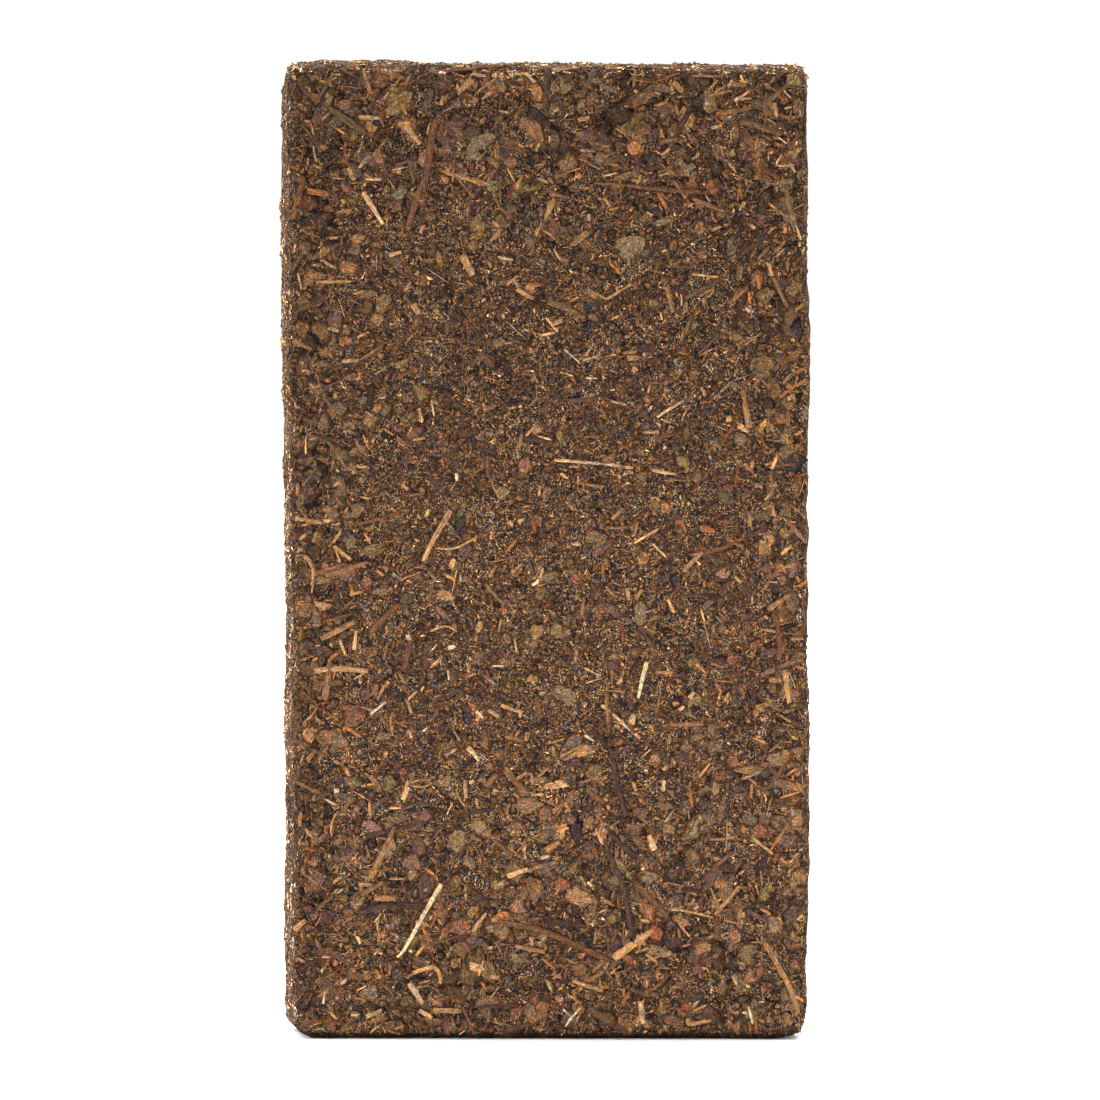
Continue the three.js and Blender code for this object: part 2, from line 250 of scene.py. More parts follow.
class Finish:
    """One material. node() adds any node: its settings go in first, then its sockets."""

    def __init__(self, name):
        self.material = bpy.data.materials.new(name)
        self.material.use_nodes = True
        self.tree = self.material.node_tree
        self.tree.nodes.clear()

    def node(self, kind, settings=None, inputs=None):
        made = self.tree.nodes.new(kind)
        for key, value in (settings or {}).items():
            if key == "stops":
                self.set_stops(made.color_ramp, value)
            else:
                setattr(made, key, value)
        for key, value in (inputs or {}).items():
            source = value.socket if isinstance(value, Term) else value
            if isinstance(source, bpy.types.NodeSocket):
                self.tree.links.new(source, made.inputs[key])
            else:
                made.inputs[key].default_value = source
        return made

    @staticmethod
    def set_stops(ramp, stops):
        while len(ramp.elements) < len(stops):
            ramp.elements.new(1.0)
        for element, (place, colour) in zip(ramp.elements, stops):
            element.position = place
            element.color = (*colour, 1.0)

    def object_place(self):
        return self.node("ShaderNodeTexCoord").outputs["Object"]

    def attribute(self, name, output):
        return self.node("ShaderNodeAttribute", {"attribute_name": name}).outputs[output]

    def stretch(self, place, x, y, z):
        """The place measured in steps of x, y and z metres."""
        scale = (1 / x, 1 / y, 1 / z)
        return self.node("ShaderNodeMapping", {}, {"Vector": place, "Scale": scale}).outputs[0]

    def noise(self, place, size, detail=2, roughness=0.5):
        inputs = {"Vector": place, "Scale": 1 / size, "Detail": detail, "Roughness": roughness}
        return Term(self, self.node("ShaderNodeTexNoise", {}, inputs).outputs["Fac"])

    def cells(self, place, feature="F1"):
        """Random cells a unit wide: the node, for its Color or Distance."""
        return self.node("ShaderNodeTexVoronoi", {"feature": feature}, {"Vector": place, "Scale": 1.0})

    def speckle(self, grain):
        """The finest crumb, longer along the grain: lightness and warmth, each about 0, and height."""
        cell = self.cells(self.stretch(grain, *CRUMB_CELL))
        tone, warmth, _ = self.parts(cell.outputs["Color"])
        rim = Term(self, cell.outputs["Distance"])
        fine = self.noise(self.stretch(grain, *GRIT_CELL), 1.0, detail=1, roughness=0.8)
        # painted shade: thin dark lines where the fine grit cracks, as the shade inside the cracks
        painted_crack_shade = (fine - 0.47).unsigned().between(0.03, 0.0)
        light = (tone - 0.5) * 0.5 + (0.45 - rim) * 0.3 + (fine - 0.5) * 3.6 - painted_crack_shade * 0.55
        return light, warmth - 0.5, (1 - rim) * 0.4 + fine * 0.7

    def stain(self, place):
        """Blue-black blotches that run over crumb and leaves alike: 1 where stained."""
        return self.noise(place, STAIN_SIZE, detail=2, roughness=0.6).between(0.53, 0.6)

    def shaded(self, colour, shade, warmth):
        """A colour made lighter or darker, and warmer or cooler."""
        red = shade * (warmth * 0.5 + 1)
        blue = shade * (1 - warmth * 0.9)
        grey = self.node("ShaderNodeCombineColor", {}, {0: red, 1: shade, 2: blue})
        return self.mix(colour, grey.outputs[0], 1.0, "MULTIPLY")

    def axis(self, place, name):
        return Term(self, self.node("ShaderNodeSeparateXYZ", {}, {0: place}).outputs[name])

    def painted_light_and_shade(self, place):
        """How bright the tea is painted at a place: paler towards the foot as painted light, and darker
        inside the left rim as painted shade.
        """
        height = self.axis(place, "Z")
        # painted light: brighter towards the foot and dimmer towards the top, standing in for more light on
        # the lower face
        slope = (1 + FOOT_PALER) - height * (2 * FOOT_PALER / HEIGHT)
        leftward = (self.axis(place, "X") + height * LEAN) * -1 + LEAN * HEIGHT / 2
        face = leftward.between(HALF_WIDTH - BAND_GONE, HALF_WIDTH - BAND_OUTER)
        # painted shade: a darker band inside the left rim of the face, holding back the left lamp's light
        # there
        dusk = leftward.between(HALF_WIDTH - BAND_INNER, HALF_WIDTH - BAND_DARKEST) * face
        return slope * (1 - dusk * BAND_DARKER)

    def parts(self, colour):
        """The red, green and blue of a colour as three values."""
        outputs = self.node("ShaderNodeSeparateColor", {}, {"Color": colour}).outputs
        return [Term(self, socket) for socket in outputs]

    def mix(self, first, second, factor, blend="MIX"):
        settings = {"data_type": "RGBA", "blend_type": blend}
        node = self.node("ShaderNodeMix", settings, {"Factor": factor, 6: first, 7: second})
        return node.outputs[2]

    def ramp(self, value, stops):
        coloured = [(place, linear(name)) for place, name in stops]
        return self.node("ShaderNodeValToRGB", {"stops": coloured}, {"Fac": value}).outputs["Color"]

    def wander(self, place, size, reach):
        """The place moved by up to reach either way, over swirls of the given size."""
        swirl = self.node("ShaderNodeTexNoise", {}, {"Vector": place, "Scale": 1 / size, "Detail": 2.0})
        centred = self.node(
            "ShaderNodeVectorMath", {"operation": "SUBTRACT"},
            {0: swirl.outputs["Color"], 1: (0.5, 0.5, 0.5)},
        )
        moved = self.node(
            "ShaderNodeVectorMath", {"operation": "MULTIPLY_ADD"},
            {0: centred.outputs[0], 1: (2 * reach, 2 * reach, 2 * reach), 2: place},
        )
        return moved.outputs[0]

    def turned(self, place, angle):
        """The place turned about Y, so that a grain runs another way in each patch."""
        node = self.node(
            "ShaderNodeVectorRotate", {"rotation_type": "Y_AXIS"}, {"Vector": place, "Angle": angle},
        )
        return node.outputs[0]

    def close(self, colour, roughness, height, bump, gloss=0.5):
        """Joins colour, roughness and relief to the surface. bump is the relief's depth in metres."""
        relief = self.node("ShaderNodeBump", {}, {"Height": height, "Distance": bump, "Strength": 1.0})
        surface = self.node(
            "ShaderNodeBsdfPrincipled", {},
            {
                "Base Color": colour,
                "Roughness": roughness,
                "Specular IOR Level": gloss,
                "Normal": relief.outputs[0],
            },
        )
        self.node("ShaderNodeOutputMaterial", {}, {"Surface": surface.outputs[0]})


def crumb_finish():
    """The pressed crumb: leaf patches with a grain each, smaller flakes along it, painted shade in the gaps
    between flakes, and painted shade at the foot.
    """
    shader = Finish("pressed crumb")
    place = shader.object_place()
    loose = shader.wander(place, SWIRL_SIZE, SWIRL_REACH)
    patch = shader.cells(shader.stretch(loose, *PATCH_CELL))
    patch_tone, patch_hue, patch_turn = shader.parts(patch.outputs["Color"])
    along = shader.turned(loose, patch_turn * FULL_TURN)
    flake_place = shader.stretch(along, *FLAKE_CELL)
    flake_tone, _, flake_hue = shader.parts(shader.cells(flake_place).outputs["Color"])
    flake_edge = Term(shader, shader.cells(flake_place, "DISTANCE_TO_EDGE").outputs["Distance"])
    speckle, warmth, grit = shader.speckle(along)
    fibre = shader.noise(shader.stretch(along, *FIBRE_CELL), 1.0, detail=2, roughness=0.6)
    cloud = shader.noise(place, CLOUD_SIZE, detail=1)
    # Patches that are one leaf are calm, and the others are broken crumb
    lively = patch_turn.between(0.55, 0.6) * 0.45 + 0.55

    detail = (flake_tone - 0.5) * 0.25 + (fibre - 0.5) * 0.5 + speckle * CRUMB_CONTRAST
    stain = shader.stain(place)
    tone = (patch_tone - 0.5) * 0.12 + (cloud - 0.5) * 0.16 + detail * lively + 0.475 - stain * 0.26
    browns = shader.ramp(tone, CRUMB_BROWNS)
    greys = shader.ramp(tone, CRUMB_GREYS)
    reds = shader.ramp(tone, CRUMB_REDS)
    colour = shader.mix(browns, greys, patch_hue.between(0.6, 0.66) * 0.9)
    colour = shader.mix(colour, reds, flake_hue.between(0.76, 0.8) * 0.85)
    # painted shade: darker towards the rims of the flakes, where the gaps between them fall in shade
    gap = flake_edge.between(0.0, 0.1) * 0.6 + 0.4
    # painted shade: near-black in the drawn-in band at the foot, where the brick meets the floor
    painted_foot_shade = shader.axis(place, "Z").between(0.6 * FOOT, FOOT) * 0.68 + 0.32
    # painted shade: the whole crumb darkened, since it shows only in the shaded gaps between the pieces
    shade = gap * painted_foot_shade * shader.painted_light_and_shade(place) * CRUMB_SHADED_BRIGHTNESS
    colour = shader.shaded(colour, shade, warmth * 1.2 - stain * 0.35)
    height = fibre * 0.8 + grit
    shader.close(colour, fibre * 0.2 + 0.62, height, bump=CRUMB_RELIEF, gloss=TEA_GLOSS)
    return shader.material


FULL_TURN = 6.28
# The three lengths of one grain, one speck of grit, one leaf patch, one flake and one fibre
CRUMB_CELL = (1.9 * MM, 0.7 * MM, 0.6 * MM)
GRIT_CELL = (0.9 * MM, 0.32 * MM, 0.32 * MM)
PATCH_CELL = (6.5 * MM, 1.5 * MM, 6.5 * MM)
FLAKE_CELL = (3.4 * MM, 0.9 * MM, 1.5 * MM)
FIBRE_CELL = (2.4 * MM, 0.5 * MM, 0.4 * MM)
# The sizes of the blotches, the slow clouds and the swirls, and how far a swirl moves the pattern
STAIN_SIZE = 1.9 * MM
CLOUD_SIZE = 18 * MM
SWIRL_SIZE = 3.0 * MM
SWIRL_REACH = 1.2 * MM
# The depths of the fine relief
CRUMB_RELIEF = 0.8 * MM
PLANT_RELIEF = 0.6 * MM
TEA_GLOSS = 0.03
# The crumb's contrast between its grains, and its brightness beside the pieces that lie on it, lowered as
# painted shade between the pieces
CRUMB_CONTRAST = 1.15
CRUMB_SHADED_BRIGHTNESS = 0.78
# How much paler than its mean the tea is painted at the foot, as painted light, and the height of the dark
# gap over the floor, drawn in and darkened with painted shade
FOOT_PALER = 0.19
FOOT = 2.6 * MM
# The band of painted shade on the face inside its left rim: how dark, and its distances in from the side
BAND_DARKER = 0.25
BAND_INNER = 26 * MM
BAND_OUTER = 4.2 * MM
BAND_DARKEST = 4 * MM
BAND_GONE = 2.6 * MM
CRUMB_BROWNS = [
    (0.0, "black"), (0.13, "soot"), (0.26, "dark"), (0.38, "brown"), (0.5, "mid"), (0.65, "warm"),
    (0.78, "light"), (0.88, "tan"), (0.95, "straw"), (1.0, "cream"),
]
CRUMB_GREYS = [
    (0.04, "black"), (0.22, "ink"), (0.38, "dark"), (0.55, "olive"), (0.72, "grey"), (0.88, "tan"),
    (1.0, "straw"),
]
CRUMB_REDS = [
    (0.04, "black"), (0.24, "soot"), (0.42, "plum"), (0.6, "red"), (0.8, "orange"), (1.0, "straw"),
]


def plant_finish(name, run, across, contrast, speckled):
    """A leaf, stem or fibre: its own tint, streaked along its own grain and dusted with the crumb."""
    shader = Finish(name)
    tint = shader.attribute("tint", "Color")
    grain = shader.attribute("grain", "Vector")
    streak = shader.noise(shader.stretch(grain, run, across, across), 1.0, detail=2, roughness=0.65)
    place = shader.object_place()
    stain = shader.stain(place)
    speckle, warmth, grit = shader.speckle(grain)
    # painted shadow: the rim vertices of leaves and flakes darkened, as the contact shadow round each piece
    outline = Term(shader, shader.attribute("rim", "Fac")).between(0.66, 0.95)
    shade = (streak - 0.5) * (3.2 * contrast) + speckle * (2.9 * speckled) - stain * (0.9 * speckled)
    shade = shade - outline * 0.95 - 0.02
    colour = shader.shaded(tint, shade.raised() * shader.painted_light_and_shade(place), warmth - stain * 0.25)
    height = streak * 0.8 + grit * speckled
    shader.close(colour, (1 - streak) * 0.2 + 0.62, height, bump=PLANT_RELIEF, gloss=TEA_GLOSS)
    return shader.material


# Pieces and prototypes


def new_piece(name, shape):
    """A new object at the origin with a bmesh's shape."""
    data = bpy.data.meshes.new(name)
    shape.to_mesh(data)
    shape.free()
    piece = bpy.data.objects.new(name, data)
    bpy.context.collection.objects.link(piece)
    return piece


class Prototype:
    """One small shape as arrays: vertices, triangles, which ones look up, and which vertices are a rim."""

    def __init__(self, shape, outlined=False):
        bmesh.ops.remove_doubles(shape, verts=shape.verts[:], dist=1e-5)
        bmesh.ops.triangulate(shape, faces=shape.faces[:])
        bmesh.ops.recalc_face_normals(shape, faces=shape.faces[:])
        shape.normal_update()
        ordered = sorted(shape.verts, key=place_of)
        for index, vert in enumerate(ordered):
            vert.index = index
        faces = sorted(shape.faces, key=lambda face: low_first([vert.index for vert in face.verts]))
        self.verts = np.array([place_of(vert) for vert in ordered])
        self.tris = np.array([low_first([vert.index for vert in face.verts]) for face in faces])
        self.looks_up = np.array([face.normal.z >= 0 for face in faces])
        self.rim = np.array([outlined and on_rim(vert) for vert in ordered], float)
        shape.free()


def place_of(vert):
    """A vertex's place, to sort by, because some operators leave another order in each run."""
    return tuple(round(part, 6) for part in vert.co)


def low_first(corners):
    """A triangle's corners, turned so that the lowest comes first."""
    start = corners.index(min(corners))
    return corners[start:] + corners[:start]


def on_rim(vert):
    """Whether a steep face meets this vertex, as round the outline of a flat shape."""
    return any(abs(face.normal.z) < 0.85 for face in vert.link_faces)


def keeled_flake(rng, sides):
    """A flake a unit across: an uneven flat top, drawn in to a keel below."""
    shape = bmesh.new()
    bmesh.ops.create_cone(shape, cap_ends=True, segments=sides, radius1=0.05, radius2=0.5, depth=0.5)
    for vert in shape.verts:
        if vert.co.z > 0:
            reach = rng.uniform(0.68, 1.2)
            vert.co = (vert.co.x * reach, vert.co.y * reach, rng.uniform(-0.08, 0.08))
        else:
            vert.co = (0, 0, -0.5)
    shape.normal_update()
    top = max(shape.faces, key=lambda face: face.normal.z)
    middle = bmesh.ops.poke(shape, faces=[top])["verts"][0]
    middle.co += Vector((rng.uniform(-0.1, 0.1), rng.uniform(-0.1, 0.1), rng.uniform(-0.05, 0.1)))
    return Prototype(shape, outlined=True)


def plate(rng, sides):
    """A plate a unit across and a unit thick, with an uneven outline and worn rims."""
    shape = bmesh.new()
    bmesh.ops.create_cone(shape, cap_ends=True, segments=sides, radius1=0.5, radius2=0.5, depth=1.0)
    reaches = rng.uniform(0.7, 1.2, sides)
    for vert in shape.verts:
        side = round(math.atan2(vert.co.y, vert.co.x) / math.tau * sides) % sides
        vert.co.x *= reaches[side] * rng.uniform(0.9, 1.0)
        vert.co.y *= reaches[side] * rng.uniform(0.9, 1.0)
        vert.co.z *= rng.uniform(0.6, 1.0)
    return Prototype(shape)


def crumb(rng):
    """A block a unit across with every corner moved, so that it reads as a broken grain."""
    shape = bmesh.new()
    bmesh.ops.create_cube(shape, size=0.8)
    for vert in shape.verts:
        vert.co += Vector(rng.uniform(-0.2, 0.2, 3))
    return Prototype(shape)


def splinter(rng):
    """A woody chip a unit long: a flat block with a split, tapered end."""
    shape = bmesh.new()
    bmesh.ops.create_cube(shape, size=1.0)
    long_edges = [edge for edge in shape.edges if abs(edge.verts[0].co.x - edge.verts[1].co.x) > 0.5]
    bmesh.ops.subdivide_edges(shape, edges=long_edges, cuts=2, use_grid_fill=True)
    for vert in shape.verts:
        taper = 1 - 0.5 * abs(vert.co.x) ** 2 * rng.uniform(0.4, 1.6)
        vert.co.y = vert.co.y * taper + rng.uniform(-0.12, 0.12)
        vert.co.z = vert.co.z * taper + rng.uniform(-0.1, 0.1)
        vert.co.x += rng.uniform(-0.09, 0.09)
    return Prototype(shape)


def leaf_width(share, blunt):
    """A leaf's half width at a share of its length from -1 to 1."""
    return (1 - abs(share) ** blunt) ** 0.6


# A leaf's thickness, and how far it may reach from its middle along the face, down and up, in its own unit
LEAF_THICKNESS = 0.045
LEAF_REACH = 0.6
LEAF_DEPTH = 0.14
LEAF_RISE = 0.1


def torn_leaf(rng, columns, rows, kept):
    """A leaf piece a unit long: crumpled, with a midrib and a ragged outline, and torn on three sides.

    kept is the nearest and the farthest that a tear passes from its middle.
    """
    shape = bmesh.new()
    bmesh.ops.create_grid(shape, x_segments=columns, y_segments=rows, size=0.5)
    blunt = rng.uniform(2.0, 3.4)
    seed = Vector(rng.uniform(0, 50, 3))
    for vert in shape.verts:
        along = 2 * vert.co.x
        across = 2 * vert.co.y
        ragged = noise.noise(Vector((along * 2.6, across * 2.2, 0)) + seed)
        vert.co.x += 0.06 * ragged
        frayed = noise.noise(Vector((along * 7, across * 6, 9)) + seed)
        width = max(leaf_width(min(abs(along), 0.97), blunt), 0.12)
        vert.co.y *= width * (1 + 0.5 * ragged + 0.4 * frayed)
        crumple = noise.noise(Vector((along * 1.5, across * 1.5, 4)) + seed)
        rib = math.exp(-(across / 0.16) ** 2)
        vert.co.z = 0.06 * crumple + 0.03 * rib - 0.05 * across ** 2 - 0.03 * along ** 2
    for _ in range(3):
        heading = rng.uniform(0, math.tau)
        tear = Vector((math.cos(heading), math.sin(heading), 0))
        bmesh.ops.bisect_plane(
            shape, geom=shape.verts[:] + shape.edges[:] + shape.faces[:], dist=1e-5,
            plane_co=tear * rng.uniform(*kept), plane_no=tear, clear_outer=True,
        )
    bmesh.ops.solidify(shape, geom=shape.faces[:], thickness=LEAF_THICKNESS)
    # Keeps the thickening from throwing up a spike at a sharp corner of a tear
    for vert in shape.verts:
        vert.co.x = min(max(vert.co.x, -LEAF_REACH), LEAF_REACH)
        vert.co.y = min(max(vert.co.y, -LEAF_REACH), LEAF_REACH)
        vert.co.z = min(max(vert.co.z, -LEAF_DEPTH), LEAF_RISE)
    return Prototype(shape, outlined=True)


def extrude_rod(shape, rings, sides):
    """Grows a closed rod through rings, each one a centre, its turn and a radius for each side."""
    angles = [math.tau * side / sides for side in range(sides)]
    circle = [Vector((0, math.cos(angle), math.sin(angle))) for angle in angles]
    centre, turn, radii = rings[0]
    places = [centre + turn @ (spoke * radius) for spoke, radius in zip(circle, radii)]
    ring = bmesh.ops.create_circle(shape, cap_ends=True, segments=sides, radius=1.0)["verts"]
    for vert, place in zip(ring, places):
        vert.co = place
    cap = ring[0].link_faces[0]
    for centre, turn, radii in rings[1:]:
        made = bmesh.ops.extrude_face_region(shape, geom=[cap])
        cap = [item for item in made["geom"] if isinstance(item, bmesh.types.BMFace)][0]
        ring = [nearest(place, cap.verts) for place in places]
        places = [centre + turn @ (spoke * radius) for spoke, radius in zip(circle, radii)]
        for vert, place in zip(ring, places):
            vert.co = place
    open_edges = [edge for edge in shape.edges if edge.is_boundary]
    bmesh.ops.holes_fill(shape, edges=open_edges)


def nearest(place, verts):
    return min(verts, key=lambda vert: (vert.co - place).length_squared)


def rod(rng, sides, steps, bend, flat, ragged):
    """A stem or fibre a unit long and a unit thick, with its grain along X."""
    shape = bmesh.new()
    lean = rng.uniform(-bend, bend)
    wave = rng.uniform(-bend, bend) * 0.5
    grooves = rng.uniform(0.82, 1.12, sides)
    rings = []
    for step in range(steps + 1):
        share = 2 * step / steps - 1
        sway = lean * (1 - share * share) + wave * math.sin(math.pi * share)
        sink = -0.35 * max(0, abs(share) - 0.75)
        taper = 1 - 0.22 * share - (0.25 if step in (0, steps) else 0)
        radii = 0.5 * taper * grooves * rng.uniform(0.9, 1.1, sides)
        centre = Vector((share / 2, sway, sink))
        rings.append((centre, Matrix.Diagonal((1, 1, flat)), radii))
    extrude_rod(shape, rings, sides)
    for vert in sorted(shape.verts, key=place_of):
        if abs(vert.co.x) > 0.499:
            vert.co.x += rng.uniform(-ragged, ragged)
    return Prototype(shape)


# The core


def make_core():
    """The brick's own body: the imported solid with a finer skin, its stems and flakes worn soft."""
    shape = bmesh.new()
    shape.from_mesh(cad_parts[NODE].data)
    bmesh.ops.remove_doubles(shape, verts=shape.verts[:], dist=1e-6)
    rough = new_piece("rough_core", shape)
    remesh = rough.modifiers.new("skin", "REMESH")
    remesh.mode = "VOXEL"
    remesh.voxel_size = CORE_CELL
    skin = bpy.data.meshes.new_from_object(rough.evaluated_get(bpy.context.evaluated_depsgraph_get()))
    bpy.data.objects.remove(rough)
    shape = bmesh.new()
    shape.from_mesh(skin)
    for _ in range(CORE_SMOOTHING):
        bmesh.ops.smooth_vert(
            shape, verts=shape.verts[:], factor=0.5, use_axis_x=True, use_axis_y=True, use_axis_z=True,
        )
    shape.normal_update()
    moves = [vert.normal * core_relief(vert.co, vert.normal) for vert in shape.verts]
    for vert, move in zip(shape.verts, moves):
        vert.co += move
        pull = FOOT_PULL * max(0.0, 1 - vert.co.z / FOOT) ** 2
        vert.co.x -= math.copysign(min(pull, abs(vert.co.x)), vert.co.x)
        vert.co.y -= math.copysign(min(pull, abs(vert.co.y)), vert.co.y)
        vert.co.z = max(vert.co.z, 0.0)
    core = new_piece("tea_core", shape)
    core.data.materials.append(crumb_finish())
    lay_out_core(core)
    return core


# The size of the skin's quads, how often it is smoothed, and how far its foot is drawn in
CORE_CELL = 1.4 * MM
CORE_SMOOTHING = 2
FOOT_PULL = 1.3 * MM
# The sizes of the lumps and the pebbles of the crumb
LUMP_SIZE = 5.5 * MM
PEBBLE_SIZE = 2.6 * MM
# How far a layer runs and how thick it is, in millimetres
LAYER_RUN = 11
LAYER_STEP = 1.7


def core_relief(place, normal):
    """How far the crumb stands out: lumps on the big faces, thin layers round the narrow sides."""
    if normal.z < -0.7:
        return 0.0
    narrow = math.hypot(normal.x, normal.z)
    lump = noise.noise(place / LUMP_SIZE)
    grit = noise.noise(place / PEBBLE_SIZE + Vector((7, 3, 1)))
    layer = noise.noise(Vector((place.x / LAYER_RUN, place.y / LAYER_STEP, place.z / LAYER_RUN)) / MM)
    faces = 0.38 * lump + 0.34 * grit
    sides = 0.3 * lump + 0.25 * grit + 0.75 * layer
    return (faces * (1 - narrow) + sides * narrow) * MM


def square_up(places):
    """Places with the brick's lean taken out, so that its sides are upright."""
    squared = np.array(places, float)
    squared[:, 0] += LEAN * (squared[:, 2] - HEIGHT / 2)
    return squared


def rim_distances(places):
    """How far each place is in from the front, back, left, right, top and base."""
    x, y, z = square_up(places).T
    edge = HALF_WIDTH - LEAN * HEIGHT / 2
    thick = HALF_THICKNESS
    return np.stack([y + thick, thick - y, x + edge, edge - x, HEIGHT - z, z], axis=1)


def side_of(places):
    return np.argmin(rim_distances(places), axis=1)


# Where each side of the core lies on its bake map: the lower left corner, and whether it lies along
MAP_SCALE = 2.1
MAP_CORNERS = {
    FRONT: (0.005, 0.005, False),
    BACK: (0.41, 0.005, False),
    LEFT: (0.815, 0.005, False),
    RIGHT: (0.005, 0.745, True),
    TOP: (0.005, 0.85, False),
    BASE: (0.41, 0.85, False),
}


def read(items, name, width=1, kind=float):
    """One property of every item as an array, with a row for each where it has several numbers."""
    values = np.zeros(len(items) * width, kind)
    items.foreach_get(name, values)
    return values.reshape(-1, width) if width > 1 else values


def lay_out_core(core):
    """Unfolds the core's six sides on one map."""
    data = core.data
    corners = read(data.loops, "vertex_index", kind=int)
    places = read(data.vertices, "co", 3)
    counts = read(data.polygons, "loop_total", kind=int)
    sides = np.repeat(side_of(read(data.polygons, "center", 3)), counts)
    x, y, z = (places[corners] - np.array(LOW)).T
    width, thickness = HIGH.x - LOW.x, HIGH.y - LOW.y
    flat = {
        FRONT: (x, z), BACK: (width - x, z), LEFT: (y, z), RIGHT: (y, z),
        TOP: (x, y), BASE: (x, thickness - y),
    }
    spots = np.zeros((len(corners), 2))
    for side, (left, bottom, turned) in MAP_CORNERS.items():
        here = sides == side
        across, up = flat[side]
        if turned:
            across, up = up, across
        spots[here, 0] = left + across[here] * MAP_SCALE
        spots[here, 1] = bottom + up[here] * MAP_SCALE
    layer = data.uv_layers.new(name="OFBake")
    layer.data.foreach_set("uv", spots.ravel())


# Scattering


class Surface:
    """The core's triangles, to pick places from and to drop pieces on."""

    def __init__(self, core):
        data = core.data
        data.calc_loop_triangles()
        places = read(data.vertices, "co", 3)
        tris = read(data.loop_triangles, "vertices", 3, int)
        self.corners = places[tris]
        self.normals = read(data.vertices, "normal", 3)[tris].mean(axis=1)
        edges = self.corners[:, 1:] - self.corners[:, :1]
        self.areas = np.linalg.norm(np.cross(edges[:, 0], edges[:, 1]), axis=1) / 2
        self.centres = self.corners.mean(axis=1)
        self.sides = side_of(self.centres)
        self.coarse = coarseness(self.centres)
        self.tree = BVHTree.FromPolygons([Vector(place) for place in places], tris.tolist())

    def pick(self, rng, count, weights):
        """Random places, more of them where the weight of a triangle is larger."""
        chance = self.areas * weights * (self.centres[:, 2] > FOOT)
        chosen = rng.choice(len(chance), size=count, p=chance / chance.sum())
        share = rng.random((count, 2))
        fold = share.sum(axis=1) > 1
        share[fold] = 1 - share[fold]
        corners = self.corners[chosen]
        places = corners[:, 0] + np.einsum("nk,nkd->nd", share, corners[:, 1:] - corners[:, :1])
        return Spots(places, self.normals[chosen], self.sides[chosen], self.coarse[chosen])


class Spots:
    """Places on the brick with their outward normals, their sides and how coarse the tea is there."""

    def __init__(self, places, normals, sides, coarse):
        self.places = places
        self.normals = normals
        self.sides = sides
        self.coarse = coarse


def coarseness(places):
    """0 where the face is fine crumb and 1 where whole leaves and stems show, near its rims."""
    distances = rim_distances(places) / MM
    nearness = [1 - distances[:, side] / reach for side, reach in COARSE_REACH.items()]
    return smooth_step(np.maximum.reduce(nearness) * 1.3)


# How far in from each side of a big face the tea is coarse, in millimetres
COARSE_REACH = {LEFT: 34, RIGHT: 30, TOP: 85, BASE: 120}
# The way out of each side
OUTWARD = np.array([[0, -1, 0], [0, 1, 0], [-1, 0, 0], [1, 0, 0], [0, 0, 1], [0, 0, -1]], float)


def normalised(vectors):
    return vectors / np.maximum(np.linalg.norm(vectors, axis=1, keepdims=True), 1e-9)


def axes_flat(rng, spots, tilt, follow):
    """For each spot, axes that lay a piece flat on its face at any heading, with a small tilt."""
    outward = OUTWARD[spots.sides] * (1 - follow) + spots.normals * follow
    outward = normalised(outward + rng.normal(0, tilt, spots.places.shape))
    heading = normalised(rng.normal(0, 1, spots.places.shape))
    along = normalised(np.cross(heading, outward))
    across = np.cross(outward, along)
    return np.stack([along, across, outward], axis=2)


def axes_on_edge(rng, spots, tilt):
    """For each spot on a narrow side, axes of a plate that lies parallel to the big faces."""
    outward = OUTWARD[spots.sides]
    plate_up = normalised(np.array([0.0, 1.0, 0.0]) + rng.normal(0, tilt, spots.places.shape))
    along = normalised(np.cross(outward, plate_up))
    turn = rng.normal(0, EDGE_TURN, len(along))[:, None]
    along = normalised(along * np.cos(turn) + np.cross(plate_up, along) * np.sin(turn))
    across = np.cross(plate_up, along)
    return np.stack([along, across, plate_up], axis=2)


def pick_tints(rng, count, shares, spread=0.16):
    """A linear colour for each piece, drawn from named colours by their shares."""
    names = list(shares)
    chance = np.array([shares[name] for name in names], float)
    table = np.array([linear(name) for name in names])
    tints = table[rng.choice(len(names), size=count, p=chance / chance.sum())]
    tints = tints * (1 - TINT_UNITY) + (chance / chance.sum()) @ table * TINT_UNITY
    light = np.exp(rng.normal(0, spread, (count, 1)))
    hue = np.exp(rng.normal(0, HUE_SPREAD, (count, 3)))
    return np.clip(tints * light * hue, 0.004, 0.9)


# How far the random tints are drawn to their mean, and how much each one's hue strays
TINT_UNITY = 0.12
HUE_SPREAD = 0.06
# How much a layer's heading strays from level, in radians
EDGE_TURN = 0.13


# How many times a copy's place is added to its grain, so that no two copies show one pattern
GRAIN_SHIFT = 37


